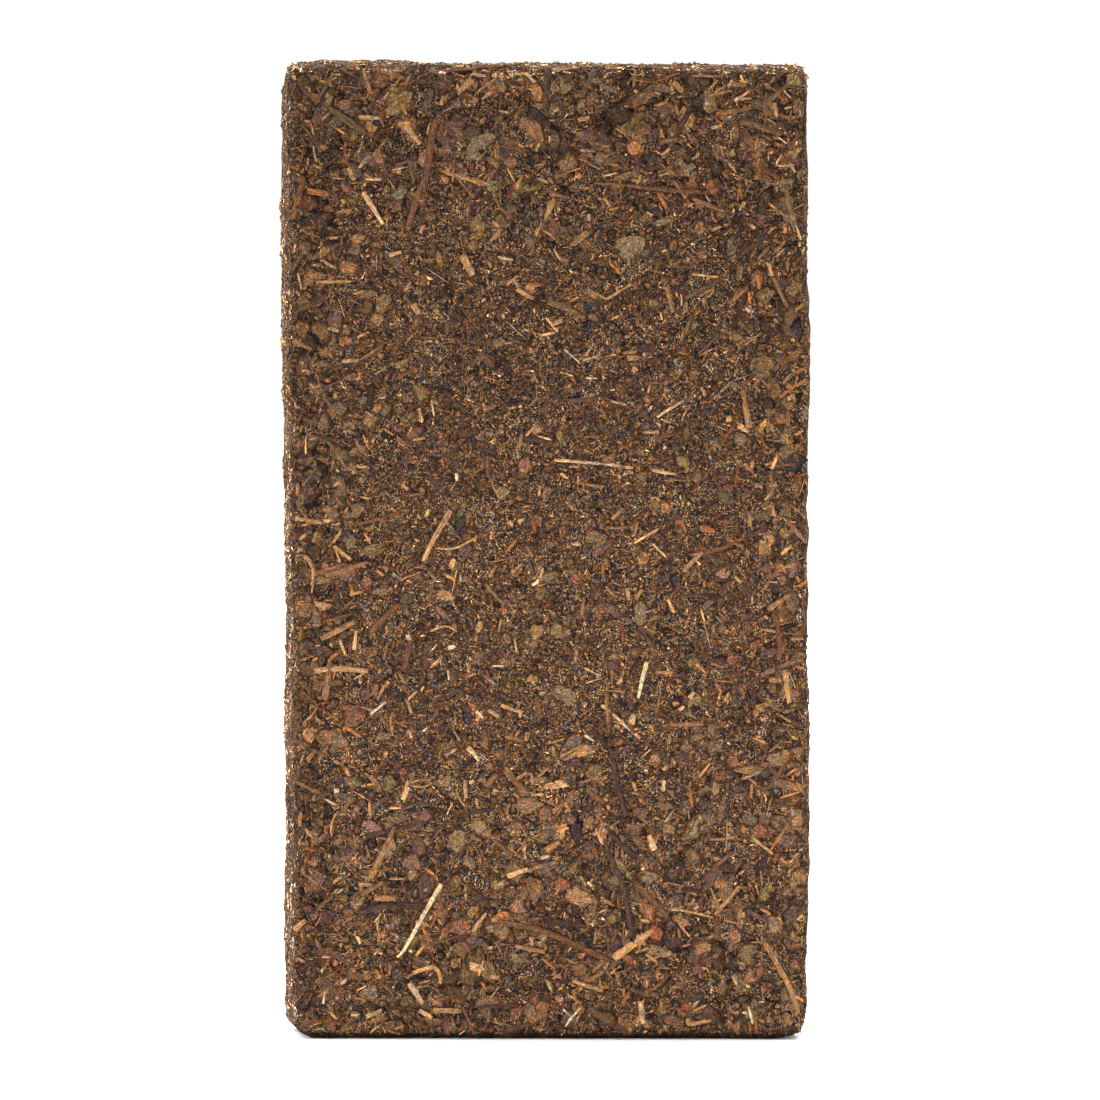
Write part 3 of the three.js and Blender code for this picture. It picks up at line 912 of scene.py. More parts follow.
class Heap:
    """Copies of small shapes, gathered as arrays and joined as one piece."""

    def __init__(self):
        self.batches = []

    def add(self, prototype, places, axes, sizes, tints):
        """Copies one shape: axes has its three directions as columns, sizes its three scales."""
        if not len(places):
            return
        local = prototype.verts[None] * sizes[:, None, :]
        verts = np.einsum("kij,knj->kni", axes, local) + places[:, None, :]
        grain = local + places[:, None, :] * GRAIN_SHIFT
        self.batches.append((prototype, verts, grain, tints))

    def scatter(self, rng, prototypes, places, axes, sizes, tints):
        kinds = rng.integers(0, len(prototypes), len(places))
        for kind, prototype in enumerate(prototypes):
            here = kinds == kind
            self.add(prototype, places[here], axes[here], sizes[here], tints[here])

    def join(self, name, material):
        """One mesh of everything added, with its tint, its grain and a cell of the map for each copy."""
        count = sum(len(verts) for _, verts, _, _ in self.batches)
        columns = math.ceil(math.sqrt(count))
        all_verts, all_tris, all_grain, all_tints, all_rims, all_spots = [], [], [], [], [], []
        start = 0
        first = 0
        for prototype, verts, grain, tints in self.batches:
            copies, size, _ = verts.shape
            offsets = start + size * np.arange(copies)
            all_tris.append((prototype.tris[None] + offsets[:, None, None]).reshape(-1, 3))
            all_verts.append(verts.reshape(-1, 3))
            all_grain.append(grain.reshape(-1, 3))
            all_tints.append(np.repeat(tints, size, axis=0))
            all_rims.append(np.tile(prototype.rim, copies))
            all_spots.append(map_cells(prototype, first + np.arange(copies), columns))
            start += copies * size
            first += copies
        verts = np.concatenate(all_verts)
        verts[:, 2] = np.maximum(verts[:, 2], 0.0)
        data = bpy.data.meshes.new(name)
        fill_mesh(data, verts, np.concatenate(all_tris))
        tints = np.concatenate([np.concatenate(all_tints), np.ones((len(verts), 1))], axis=1)
        write_attribute(data, "tint", "FLOAT_COLOR", "color", tints)
        write_attribute(data, "grain", "FLOAT_VECTOR", "vector", np.concatenate(all_grain))
        # rim marks the outline vertices, which the plant finish darkens as painted shadow
        write_attribute(data, "rim", "FLOAT", "value", np.concatenate(all_rims))
        data.uv_layers.new(name="OFBake").data.foreach_set("uv", np.concatenate(all_spots).ravel())
        data.materials.append(material)
        piece = bpy.data.objects.new(name, data)
        bpy.context.collection.objects.link(piece)
        return piece


def write_attribute(data, name, kind, field, values):
    data.attributes.new(name, kind, "POINT").data.foreach_set(field, values.ravel())


def fill_mesh(data, verts, tris):
    data.vertices.add(len(verts))
    data.vertices.foreach_set("co", verts.ravel())
    data.loops.add(tris.size)
    data.loops.foreach_set("vertex_index", tris.ravel())
    data.polygons.add(len(tris))
    data.polygons.foreach_set("loop_start", np.arange(0, tris.size, 3))
    data.update(calc_edges=True)
    data.validate()


# How far in from its cell's rims a copy lies on the bake map, as a share of the cell
CELL_INSET = 0.12


def map_cells(prototype, indices, columns):
    """Map places for copies of a shape: the upper triangles in the left of a cell, the rest in the right."""
    flat = prototype.verts[:, :2]
    low, high = flat.min(axis=0), flat.max(axis=0)
    unit = (flat - low) / np.maximum(high - low, 1e-6)
    corners = unit[prototype.tris] * (1 - 2 * CELL_INSET) + CELL_INSET
    corners[..., 0] = corners[..., 0] / 2 + np.where(prototype.looks_up, 0, 0.5)[:, None]
    cells = np.stack([indices % columns, indices // columns], axis=1)
    spots = (corners[None] + cells[:, None, None, :]) / columns
    return spots.reshape(-1, 2)


def on_big_face(sides):
    return (sides == FRONT) | (sides == BACK)


def on_narrow_side(sides):
    return (sides == LEFT) | (sides == RIGHT) | (sides == TOP)


def sizes_of(rng, count, lengths, widths, heights):
    """Three scales for each piece, in metres, drawn so that small ones are the more common."""
    share = rng.random(count) ** 1.6
    length = lengths[0] + (lengths[1] - lengths[0]) * share
    width = rng.uniform(*widths, count)
    height = rng.uniform(*heights, count)
    return np.stack([length, width, height], axis=1) * MM


# How common each colour is in each kind of piece
LEAF_SHARES = {
    "ink": 3, "soot": 6, "dark": 14, "brown": 20, "mid": 20, "warm": 12, "light": 4, "olive": 18,
    "grey": 13, "plum": 5, "red": 4,
}
SCRAP_SHARES = {
    "ink": 8, "soot": 12, "dark": 15, "brown": 18, "mid": 17, "warm": 12, "light": 7, "tan": 3,
    "olive": 9, "grey": 6, "plum": 7, "red": 6,
}
CRUMB_SHARES = {
    "ink": 3, "soot": 9, "dark": 14, "brown": 18, "mid": 18, "warm": 16, "light": 11, "tan": 6,
    "olive": 5, "grey": 4, "plum": 5, "red": 5, "orange": 3, "straw": 2,
}
EDGE_SHARES = {
    "soot": 6, "dark": 8, "brown": 10, "mid": 12, "warm": 12, "light": 12, "tan": 16, "straw": 12,
    "grey": 16,
}
STEM_SHARES = {
    "ink": 4, "soot": 12, "dark": 18, "brown": 18, "plum": 12, "red": 9, "mid": 12, "warm": 10,
    "light": 7, "tan": 3,
}
FIBRE_SHARES = {"brown": 14, "mid": 20, "warm": 20, "light": 20, "tan": 16, "straw": 8, "orange": 3}
CHIP_SHARES = {"red": 8, "mid": 16, "warm": 24, "light": 24, "tan": 18, "orange": 6, "straw": 5}
# How far in from the rims of a big face its pieces end
RIM = 1.6 * MM
# How far the cut ends of the layers are drawn to one pale tint
EDGE_PALENESS = 0.4
# The share of the layers that stands out past the left side and the top
FRAYED = 0.2


def clear_of_rims(spots, axes, sizes):
    """The places, moved in so that each piece ends inside the rims of its big face."""
    reach = np.abs(axes[:, :, 0]) * sizes[:, :1] / 2 + np.abs(axes[:, :, 1]) * sizes[:, 1:2] / 2
    places = spots.places.copy()
    slant = LEAN * (places[:, 2] - HEIGHT / 2)
    room = HALF_WIDTH - LEAN * HEIGHT / 2 - RIM - reach[:, 0]
    places[:, 0] = np.clip(places[:, 0] + slant, -room, room) - slant
    places[:, 2] = np.clip(places[:, 2], FOOT / 2 + reach[:, 2], HEIGHT - RIM - reach[:, 2])
    return places


def keep_inside(surface, spots, axes, sizes, lift):
    """Where the longer pieces of the big faces go: inside the rims, and down on the crumb again."""
    places = clear_of_rims(spots, axes, sizes)
    for index, place in enumerate(places):
        out = Vector(OUTWARD[spots.sides[index]])
        start = Vector((place[0], 0, place[2])) + out * (2 * HALF_THICKNESS)
        hit, _, _, _ = surface.tree.ray_cast(start, -out)
        if hit is not None:
            places[index] = hit
    return places + OUTWARD[spots.sides] * lift


def scattered(name, finish, rng, shapes, places, axes, sizes, tints):
    """One piece of copies, each of a shape drawn from the given ones."""
    heap = Heap()
    heap.scatter(rng, shapes, places, axes, sizes, tints)
    return heap.join(name, finish)


def scatter_leaves(rng, surface, finish):
    """Whole and torn leaves, pressed flat, most of them near the rims."""
    shapes = [torn_leaf(rng, columns=5, rows=3, kept=(0.3, 0.48)) for _ in range(14)]
    count = 1900
    spots = surface.pick(rng, count, on_big_face(surface.sides) * (0.5 + surface.coarse))
    sizes = sizes_of(rng, count, lengths=(5, 15), widths=(3.5, 8.5), heights=(4, 7))
    sizes[:, :2] *= 0.7 + 0.35 * spots.coarse[:, None]
    axes = axes_flat(rng, spots, tilt=0.04, follow=0.2)
    places = keep_inside(surface, spots, axes, sizes, rng.uniform(0.05, 0.45, (count, 1)) * MM)
    tints = pick_tints(rng, count, LEAF_SHARES, 0.14)
    return scattered("torn_leaves", finish, rng, shapes, places, axes, sizes, tints)


def scatter_scraps(rng, surface, finish):
    """Small flat scraps of leaf, all over the big faces."""
    shapes = [keeled_flake(rng, sides) for sides in (5, 6, 6, 7, 7)]
    count = 14800
    spots = surface.pick(rng, count, on_big_face(surface.sides) * 1.0)
    sizes = sizes_of(rng, count, lengths=(0.7, 2.4), widths=(0.5, 1.1), heights=(0.5, 0.9))
    sizes[:, 0] *= 1.8 + 0.9 * spots.coarse
    sizes[:, 1] = sizes[:, 0] * rng.uniform(0.35, 0.8, count)
    axes = axes_flat(rng, spots, tilt=0.1, follow=0.6)
    places = clear_of_rims(spots, axes, sizes * 0.8)
    places = places + spots.normals * rng.uniform(-0.1, 0.22, (count, 1)) * MM
    tints = pick_tints(rng, count, SCRAP_SHARES, 0.22)
    return scattered("leaf_scraps", finish, rng, shapes, places, axes, sizes, tints)


def scatter_crumbs(rng, surface, finish):
    """Broken grains of leaf and stem, on every side but the base."""
    shapes = [crumb(rng) for _ in range(6)]
    count = 10900
    weights = (surface.sides != BASE) * (1.15 - 0.5 * surface.coarse)
    spots = surface.pick(rng, count, weights)
    sizes = sizes_of(rng, count, lengths=(0.8, 3.6), widths=(0.4, 0.95), heights=(0.4, 0.75))
    places = spots.places + spots.normals * rng.uniform(-0.22, 0.08, (count, 1)) * MM
    tints = pick_tints(rng, count, CRUMB_SHARES, 0.2)
    narrow = on_narrow_side(spots.sides)
    tints[narrow] = pick_tints(rng, int(narrow.sum()), EDGE_SHARES)
    axes = axes_flat(rng, spots, tilt=0.14, follow=0.6)
    return scattered("tea_crumbs", finish, rng, shapes, places, axes, sizes, tints)


def scatter_edges(rng, surface, finish):
    """Leaves seen edge-on round the narrow sides, in layers that lie along the big faces."""
    shapes = [plate(rng, sides) for sides in (6, 7, 7, 8)]
    count = 5800
    spots = surface.pick(rng, count, on_narrow_side(surface.sides) * 1.0)
    sizes = sizes_of(rng, count, lengths=(3, 13), widths=(3.0, 4.4), heights=(0.3, 0.9))
    axes = axes_on_edge(rng, spots, tilt=0.07)
    reach = np.abs(axes[:, :, 0]) * sizes[:, :1] / 2
    places = spots.places.copy()
    room = HALF_WIDTH - LEAN * HEIGHT / 2 - RIM - reach[:, 0]
    thick = HALF_THICKNESS - RIM
    upright = (spots.sides == LEFT) | (spots.sides == RIGHT)
    kept_high = np.clip(places[:, 2], FOOT + reach[:, 2], HEIGHT - reach[:, 2])
    places[:, 0] = np.where(upright, places[:, 0], np.clip(places[:, 0], -room, room))
    places[:, 1] = np.clip(places[:, 1], -thick, thick)
    places[:, 2] = np.where(upright, kept_high, places[:, 2])
    proud = rng.uniform(-0.35, 0.3, (count, 1)) * MM
    proud = np.where((spots.sides == RIGHT)[:, None], proud - 0.2 * MM, proud)
    frayed = ((spots.sides == LEFT) | (spots.sides == TOP))[:, None] & (rng.random((count, 1)) < FRAYED)
    proud = np.where(frayed, rng.uniform(0.3, 1.1, (count, 1)) * MM, proud)
    places = places + OUTWARD[spots.sides] * (proud - sizes[:, 1:2] / 2)
    tints = pick_tints(rng, count, EDGE_SHARES, 0.2)
    tints += (np.array(linear("rind")) - tints) * EDGE_PALENESS
    return scattered("edge_layers", finish, rng, shapes, places, axes, sizes, tints)


def scatter_stems(rng, surface, finish):
    """Leaf stalks and twigs, half pressed in."""
    heap = Heap()
    thick = [rod(rng, sides=7, steps=6, bend=0.05, flat=0.8, ragged=0.02) for _ in range(6)]
    thin = [rod(rng, sides=5, steps=4, bend=0.08, flat=0.8, ragged=0.02) for _ in range(6)]
    weights = on_big_face(surface.sides) * (0.25 + surface.coarse)
    twigs = (thick, 130, (7, 24), (1.5, 2.6))
    stalks = (thin, 1700, (2.5, 12), (0.6, 1.4))
    for shapes, count, lengths, widths in (twigs, stalks):
        spots = surface.pick(rng, count, weights)
        sizes = sizes_of(rng, count, lengths, widths, heights=(1, 1))
        sizes[:, 2] = sizes[:, 1] * 0.9
        axes = axes_flat(rng, spots, tilt=0.03, follow=0.1)
        lift = sizes[:, 1:2] * rng.uniform(-0.25, 0.1, (count, 1))
        places = keep_inside(surface, spots, axes, sizes, lift)
        tints = pick_tints(rng, count, STEM_SHARES, 0.2)
        heap.scatter(rng, shapes, places, axes, sizes, tints)
    return heap.join("stems", finish)


def scatter_fibres(rng, surface, finish):
    """Straws and hairs that lie across the face."""
    shapes = [rod(rng, sides=4, steps=4, bend=0.14, flat=0.7, ragged=0.01) for _ in range(8)]
    count = 1600
    spots = surface.pick(rng, count, on_big_face(surface.sides) * (0.35 + surface.coarse))
    sizes = sizes_of(rng, count, lengths=(1.6, 11), widths=(0.2, 0.42), heights=(1, 1))
    sizes[:, 1] = np.minimum(sizes[:, 1], sizes[:, 0] * 0.15)
    sizes[:, 2] = sizes[:, 1]
    axes = axes_flat(rng, spots, tilt=0.03, follow=0.1)
    places = keep_inside(surface, spots, axes, sizes, 0.15 * MM)
    tints = pick_tints(rng, count, FIBRE_SHARES, 0.2)
    return scattered("fibres", finish, rng, shapes, places, axes, sizes, tints)


def scatter_chips(rng, surface, finish):
    """Split bits of stalk, brown to straw."""
    shapes = [splinter(rng) for _ in range(7)]
    count = 2800
    spots = surface.pick(rng, count, on_big_face(surface.sides) * (0.5 + surface.coarse))
    sizes = sizes_of(rng, count, lengths=(1.2, 6), widths=(0.5, 1.3), heights=(0.4, 0.8))
    sizes[:, 1] = np.minimum(sizes[:, 1], sizes[:, 0] * 0.5)
    axes = axes_flat(rng, spots, tilt=0.06, follow=0.2)
    places = keep_inside(surface, spots, axes, sizes, rng.uniform(-0.05, 0.25, (count, 1)) * MM)
    tints = pick_tints(rng, count, CHIP_SHARES, 0.2)
    return scattered("stalk_chips", finish, rng, shapes, places, axes, sizes, tints)


# The pieces that the front face is known by, at their pixels in the photograph


# For each colour, its stems: the widths of the two ends in millimetres, then the path in pixels
STEMS_SEEN = {
    "bark": [
        ((2.7, 2.4), (436, 119), (431, 142), (427, 172), (415, 203), (408, 230)),
        ((2.4, 1.8), (370, 633), (385, 616), (399, 604)),
        ((2.6, 2.5), (497, 922), (545, 932), (610, 961)),
        ((2.8, 2.5), (634, 882), (667, 915)),
    ],
    "cream": [
        ((2.0, 1.0), (441, 884), (427, 908), (405, 948), (397, 957)),
        ((1.0, 0.9), (370, 714), (386, 702)),
        ((1.2, 1.0), (476, 711), (483, 718)),
        ((1.4, 1.1), (456, 473), (457, 481)),
        ((1.7, 1.2), (647, 662), (643, 676), (638, 698)),
        ((1.0, 0.9), (748, 1005), (753, 1024)),
        ((0.5, 0.4), (799, 297), (809, 298)),
        ((1.9, 1.6), (334, 791), (339, 790)),
        ((1.8, 1.2), (448, 648), (455, 646)),
        ((1.4, 1.1), (532, 585), (539, 581)),
        ((1.0, 0.8), (585, 735), (594, 741)),
        ((0.9, 0.8), (561, 1035), (569, 1021), (580, 1008)),
    ],
    "straw": [
        ((2.1, 1.4), (363, 192), (383, 224)),
        ((0.9, 0.8), (313, 145), (316, 162)),
        ((1.4, 1.2), (525, 73), (535, 82)),
        ((1.3, 1.1), (734, 101), (749, 91)),
        ((1.8, 1.3), (389, 255), (401, 252)),
        ((1.1, 0.9), (498, 257), (513, 260)),
        ((0.8, 0.7), (432, 404), (434, 416)),
        ((0.8, 0.7), (554, 249), (560, 260)),
        ((0.8, 0.7), (603, 176), (618, 173)),
        ((0.8, 0.7), (782, 154), (777, 165), (797, 165)),
        ((1.2, 0.9), (787, 198), (801, 240)),
        ((1.1, 0.9), (799, 242), (807, 245)),
        ((0.5, 0.4), (803, 310), (812, 317)),
        ((1.1, 0.9), (657, 417), (683, 401)),
        ((0.9, 0.7), (661, 419), (671, 423)),
        ((0.8, 0.6), (564, 349), (580, 363)),
        ((0.9, 0.7), (583, 360), (598, 356)),
        ((1.0, 0.8), (585, 356), (590, 349)),
        ((0.9, 0.7), (586, 378), (607, 378)),
        ((0.8, 0.6), (560, 372), (573, 376)),
        ((0.9, 0.7), (546, 318), (558, 332)),
        ((0.9, 0.8), (661, 313), (662, 320)),
        ((1.3, 1.1), (554, 460), (603, 464), (633, 468)),
        ((1.3, 1.0), (652, 470), (675, 474)),
        ((1.0, 0.9), (634, 543), (658, 529)),
        ((0.9, 0.8), (653, 544), (666, 557)),
        ((1.6, 1.2), (509, 521), (513, 526)),
        ((1.6, 1.2), (518, 522), (524, 519)),
        ((1.8, 1.4), (407, 635), (410, 640)),
        ((1.0, 0.9), (543, 568), (540, 577), (534, 584)),
        ((1.6, 1.1), (354, 650), (356, 631)),
        ((1.4, 1.1), (602, 705), (640, 738)),
        ((1.8, 1.6), (689, 698), (694, 692)),
        ((1.5, 1.2), (679, 710), (684, 706)),
        ((2.4, 1.8), (631, 724), (634, 714)),
        ((0.9, 0.8), (448, 670), (449, 680)),
        ((0.8, 0.7), (492, 666), (504, 666)),
        ((2.2, 1.8), (403, 800), (408, 787)),
        ((1.5, 1.3), (469, 783), (474, 781)),
        ((0.9, 0.8), (390, 808), (401, 808)),
        ((1.8, 1.6), (664, 780), (663, 791)),
        ((0.8, 0.7), (594, 803), (604, 810)),
        ((1.5, 2.9), (649, 835), (654, 850)),
        ((2.2, 1.8), (507, 876), (528, 869)),
        ((2.2, 1.9), (640, 1001), (643, 1024)),
        ((1.8, 1.5), (419, 1010), (432, 1018)),
        ((1.1, 0.9), (323, 1004), (325, 992)),
        ((0.8, 0.7), (571, 1017), (563, 1009)),
        ((2.0, 1.7), (409, 983), (423, 1004)),
    ],
    "tan": [
        ((2.4, 1.6), (405, 125), (420, 144)),
        ((1.8, 1.6), (359, 117), (379, 118)),
        ((1.8, 1.5), (348, 168), (354, 180)),
        ((1.5, 1.3), (292, 77), (326, 82)),
        ((0.9, 0.8), (507, 167), (515, 182)),
        ((1.4, 1.2), (472, 74), (486, 76)),
        ((1.5, 1.3), (316, 282), (351, 281)),
        ((0.8, 0.7), (307, 266), (321, 264)),
        ((3.2, 2.4), (462, 255), (473, 275)),
        ((2.2, 1.4), (517, 289), (533, 299)),
        ((1.1, 1.0), (513, 278), (518, 287)),
        ((2.4, 1.8), (413, 304), (419, 314)),
        ((1.1, 0.9), (419, 408), (423, 422)),
        ((1.1, 1.0), (289, 386), (297, 408)),
        ((0.9, 0.8), (413, 440), (425, 438)),
        ((0.9, 0.8), (526, 436), (534, 427)),
        ((1.4, 1.2), (774, 103), (777, 117)),
        ((1.8, 1.3), (578, 120), (589, 117)),
        ((1.1, 0.9), (580, 150), (595, 151)),
        ((1.1, 1.0), (712, 230), (721, 226)),
        ((1.1, 1.0), (768, 234), (776, 227)),
        ((1.1, 1.0), (692, 274), (719, 277)),
        ((0.9, 0.8), (607, 299), (631, 284)),
        ((0.9, 0.8), (596, 294), (607, 299)),
        ((1.8, 1.4), (553, 324), (563, 320)),
        ((2.4, 1.8), (627, 358), (639, 358)),
        ((1.1, 0.9), (611, 401), (626, 405)),
        ((2.6, 2.2), (726, 419), (732, 419)),
        ((2.5, 1.7), (295, 518), (322, 523)),
        ((1.7, 2.3), (423, 561), (434, 538), (451, 510)),
        ((0.8, 1.2), (435, 548), (455, 548), (477, 537)),
        ((1.6, 1.3), (334, 546), (351, 560)),
        ((1.9, 1.3), (304, 556), (311, 564), (313, 576), (310, 598)),
        ((1.6, 1.2), (402, 484), (408, 490)),
        ((1.6, 1.2), (540, 486), (539, 496)),
        ((1.4, 1.1), (402, 622), (404, 627)),
        ((0.9, 0.8), (430, 631), (445, 626), (457, 631)),
        ((1.8, 1.2), (627, 588), (629, 600)),
        ((2.4, 2.1), (314, 671), (335, 669), (368, 671)),
        ((1.5, 1.1), (501, 705), (520, 712)),
        ((1.0, 0.9), (346, 768), (349, 776)),
        ((1.1, 0.8), (331, 834), (332, 822), (338, 811)),
        ((1.9, 1.5), (465, 780), (466, 798)),
        ((1.0, 0.9), (476, 798), (478, 809)),
        ((1.5, 1.3), (633, 782), (636, 791)),
        ((1.4, 1.2), (663, 770), (668, 765)),
        ((0.8, 0.7), (584, 668), (601, 676)),
        ((2.2, 1.8), (785, 670), (787, 687), (789, 703)),
        ((1.5, 1.1), (753, 838), (773, 854)),
        ((1.9, 1.3), (505, 768), (511, 775), (517, 784)),
        ((1.5, 1.0), (522, 790), (533, 794), (543, 794)),
        ((1.8, 1.4), (413, 973), (435, 968), (443, 988)),
        ((2.2, 1.9), (433, 1010), (461, 1011)),
        ((1.8, 1.4), (473, 931), (486, 913)),
        ((1.9, 1.5), (366, 1017), (382, 1010)),
        ((2.2, 1.9), (294, 930), (306, 920)),
        ((1.6, 1.3), (416, 956), (424, 945)),
        ((1.8, 1.4), (491, 976), (499, 978)),
        ((1.4, 1.2), (793, 995), (803, 1001)),
        ((1.0, 0.8), (668, 909), (690, 912), (739, 924)),
        ((1.9, 1.5), (637, 935), (645, 945)),
        ((1.6, 1.4), (688, 1018), (690, 1024), (711, 1020)),
        ((1.7, 1.4), (572, 981), (603, 991)),
    ],
    "light": [
        ((2.4, 2.1), (763, 940), (783, 975), (796, 1003), (797, 1014)),
        ((0.9, 0.8), (478, 91), (499, 76)),
        ((1.2, 1.0), (545, 72), (580, 68)),
        ((0.8, 0.7), (452, 172), (474, 198)),
        ((2.9, 2.2), (673, 82), (683, 92)),
        ((0.8, 0.7), (405, 344), (414, 333)),
        ((1.8, 1.6), (293, 340), (311, 350)),
        ((2.1, 1.8), (667, 286), (673, 312)),
        ((0.8, 0.7), (745, 345), (763, 332)),
        ((1.4, 3.0), (743, 390), (745, 404), (749, 428)),
        ((1.8, 1.4), (612, 519), (623, 508)),
        ((1.5, 1.2), (636, 599), (642, 589)),
        ((2.0, 1.5), (703, 552), (693, 561), (683, 572)),
        ((1.3, 1.1), (794, 508), (805, 519)),
        ((2.0, 1.4), (768, 610), (790, 594)),
        ((1.6, 1.4), (791, 639), (803, 638)),
        ((2.1, 2.3), (321, 639), (354, 622)),
        ((1.4, 1.2), (291, 597), (309, 582)),
        ((1.3, 1.1), (319, 760), (328, 746)),
        ((2.2, 1.8), (370, 776), (378, 784)),
        ((0.9, 0.8), (409, 785), (422, 787), (434, 782)),
        ((0.9, 0.8), (409, 783), (420, 780), (431, 780)),
        ((1.4, 1.1), (515, 780), (527, 772)),
        ((2.2, 1.7), (528, 732), (526, 741)),
        ((1.2, 1.0), (715, 683), (722, 693)),
        ((2.0, 1.8), (769, 680), (782, 680)),
        ((1.2, 1.1), (561, 756), (582, 745)),
        ((1.1, 1.0), (564, 760), (583, 748)),
        ((1.1, 1.0), (664, 827), (665, 840)),
        ((1.1, 1.0), (709, 839), (722, 839), (734, 837)),
        ((1.1, 1.0), (780, 798), (801, 791)),
        ((2.4, 2.2), (545, 850), (560, 842)),
        ((2.1, 1.9), (374, 898), (397, 898)),
        ((2.0, 1.8), (515, 946), (545, 952)),
        ((1.9, 1.6), (428, 998), (442, 1006)),
        ((1.0, 0.9), (631, 902), (650, 906), (668, 909)),
        ((1.5, 1.3), (715, 915), (739, 886)),
    ],
    "orange": [
        ((2.5, 2.2), (307, 190), (329, 194)),
        ((1.1, 1.0), (708, 96), (732, 90)),
        ((1.0, 0.9), (602, 146), (610, 146)),
        ((1.1, 1.0), (325, 347), (332, 358)),
        ((1.1, 0.9), (610, 263), (621, 274)),
        ((2.1, 1.6), (757, 275), (759, 289)),
        ((1.8, 1.6), (786, 387), (808, 381)),
        ((1.4, 1.2), (351, 584), (352, 596)),
        ((2.6, 2.0), (700, 527), (714, 531)),
        ((1.5, 1.3), (799, 586), (807, 580)),
        ((1.4, 1.1), (346, 727), (361, 737)),
        ((1.8, 1.5), (307, 760), (316, 750)),
        ((1.1, 1.0), (771, 849), (789, 823)),
        ((1.6, 1.4), (658, 192), (667, 208)),
        ((1.6, 1.3), (728, 1020), (738, 1033)),
    ],
    "warm": [
        ((2.2, 1.8), (325, 576), (368, 562)),
        ((1.9, 1.6), (716, 114), (752, 108)),
        ((1.4, 1.3), (731, 84), (747, 85)),
        ((1.1, 1.0), (683, 127), (693, 142)),
        ((1.1, 1.0), (598, 159), (616, 152)),
        ((1.6, 1.4), (692, 198), (724, 211)),
        ((1.1, 1.0), (362, 359), (382, 345)),
        ((1.4, 1.2), (699, 296), (715, 287)),
        ((1.9, 1.6), (729, 303), (748, 287)),
        ((1.8, 1.5), (773, 278), (788, 308)),
        ((0.8, 0.7), (698, 354), (716, 338)),
        ((1.4, 1.2), (788, 352), (803, 352)),
        ((1.8, 1.5), (788, 411), (788, 425)),
        ((1.1, 0.9), (300, 488), (320, 465)),
        ((1.5, 1.3), (606, 528), (630, 527)),
        ((1.4, 1.1), (698, 564), (700, 579)),
        ((1.1, 1.0), (771, 470), (773, 494)),
        ((1.4, 1.2), (485, 584), (504, 605)),
        ((2.4, 2.2), (485, 786), (497, 774)),
        ((1.4, 1.2), (505, 737), (523, 740)),
        ((1.3, 1.6), (606, 692), (607, 708), (609, 726)),
        ((1.2, 2.2), (670, 725), (703, 723)),
        ((1.9, 1.6), (361, 894), (383, 882)),
        ((1.8, 1.5), (588, 981), (620, 960)),
    ],
    "mid": [
        ((1.2, 1.0), (430, 72), (505, 66)),
        ((1.5, 1.2), (334, 74), (313, 107)),
        ((2.5, 2.1), (740, 120), (781, 134)),
        ((0.9, 1.9), (595, 183), (631, 186), (655, 189), (701, 192)),
        ((2.6, 2.0), (504, 769), (517, 783), (531, 795)),
        ((2.2, 2.6), (318, 683), (343, 682)),
    ],
    "brown": [
        ((1.4, 1.2), (504, 140), (498, 165)),
        ((1.1, 1.0), (753, 154), (773, 138)),
        ((0.9, 0.7), (701, 194), (723, 183)),
        ((1.1, 1.0), (361, 369), (379, 382)),
        ((2.1, 1.9), (317, 438), (338, 440)),
        ((1.4, 1.2), (655, 440), (682, 431)),
        ((1.5, 1.3), (429, 944), (467, 934)),
    ],
    "olive": [
        ((2.0, 3.6), (325, 105), (366, 133)),
        ((1.0, 0.8), (302, 123), (320, 150)),
        ((2.5, 2.1), (633, 103), (655, 84)),
        ((0.8, 0.7), (547, 120), (578, 119)),
        ((1.8, 1.5), (661, 142), (681, 138)),
        ((1.8, 1.5), (692, 314), (685, 334)),
        ((1.8, 1.3), (703, 552), (710, 574)),
        ((1.5, 1.3), (500, 760), (510, 741)),
        ((1.8, 1.5), (317, 908), (333, 896)),
        ((1.2, 1.0), (445, 894), (472, 892)),
    ],
    "red": [
        ((0.8, 0.7), (493, 145), (528, 150)),
        ((1.8, 1.5), (777, 78), (797, 70)),
        ((1.8, 1.6), (763, 168), (779, 178)),
        ((1.5, 1.3), (803, 194), (805, 226)),
        ((1.4, 1.2), (396, 378), (417, 368)),
        ((1.1, 1.0), (419, 388), (433, 394)),
        ((1.1, 1.0), (566, 398), (580, 409)),
        ((1.1, 1.3), (354, 525), (377, 519), (400, 512)),
        ((1.8, 1.5), (534, 518), (535, 532)),
        ((1.2, 2.0), (745, 537), (725, 547), (705, 552)),
        ((1.7, 1.4), (738, 466), (736, 484)),
        ((1.3, 1.1), (718, 484), (722, 492)),
        ((1.1, 1.0), (773, 466), (795, 464)),
        ((1.5, 1.8), (774, 614), (779, 632), (779, 660)),
        ((1.2, 1.0), (778, 625), (795, 620)),
        ((1.5, 1.3), (315, 624), (351, 614)),
        ((2.2, 1.6), (299, 846), (325, 852)),
        ((1.4, 1.2), (494, 840), (511, 854)),
        ((2.2, 1.8), (589, 792), (605, 803)),
        ((1.8, 1.6), (592, 844), (598, 860)),
        ((2.4, 1.2), (289, 1021), (315, 1022), (338, 1021)),
        ((1.8, 1.6), (463, 942), (473, 956)),
        ((0.9, 0.7), (360, 968), (345, 970), (336, 982), (334, 1000), (343, 1026)),
        ((1.1, 1.0), (323, 968), (335, 952)),
        ((1.8, 1.5), (413, 1022), (428, 1028)),
    ],
    "plum": [
        ((2.1, 1.9), (685, 298), (719, 280)),
        ((1.8, 1.6), (641, 626), (656, 656)),
        ((2.0, 1.8), (372, 809), (389, 796)),
        ((1.0, 0.9), (381, 758), (400, 766)),
        ((1.9, 1.7), (747, 910), (768, 922)),
        ((2.8, 2.5), (589, 1009), (627, 1032)),
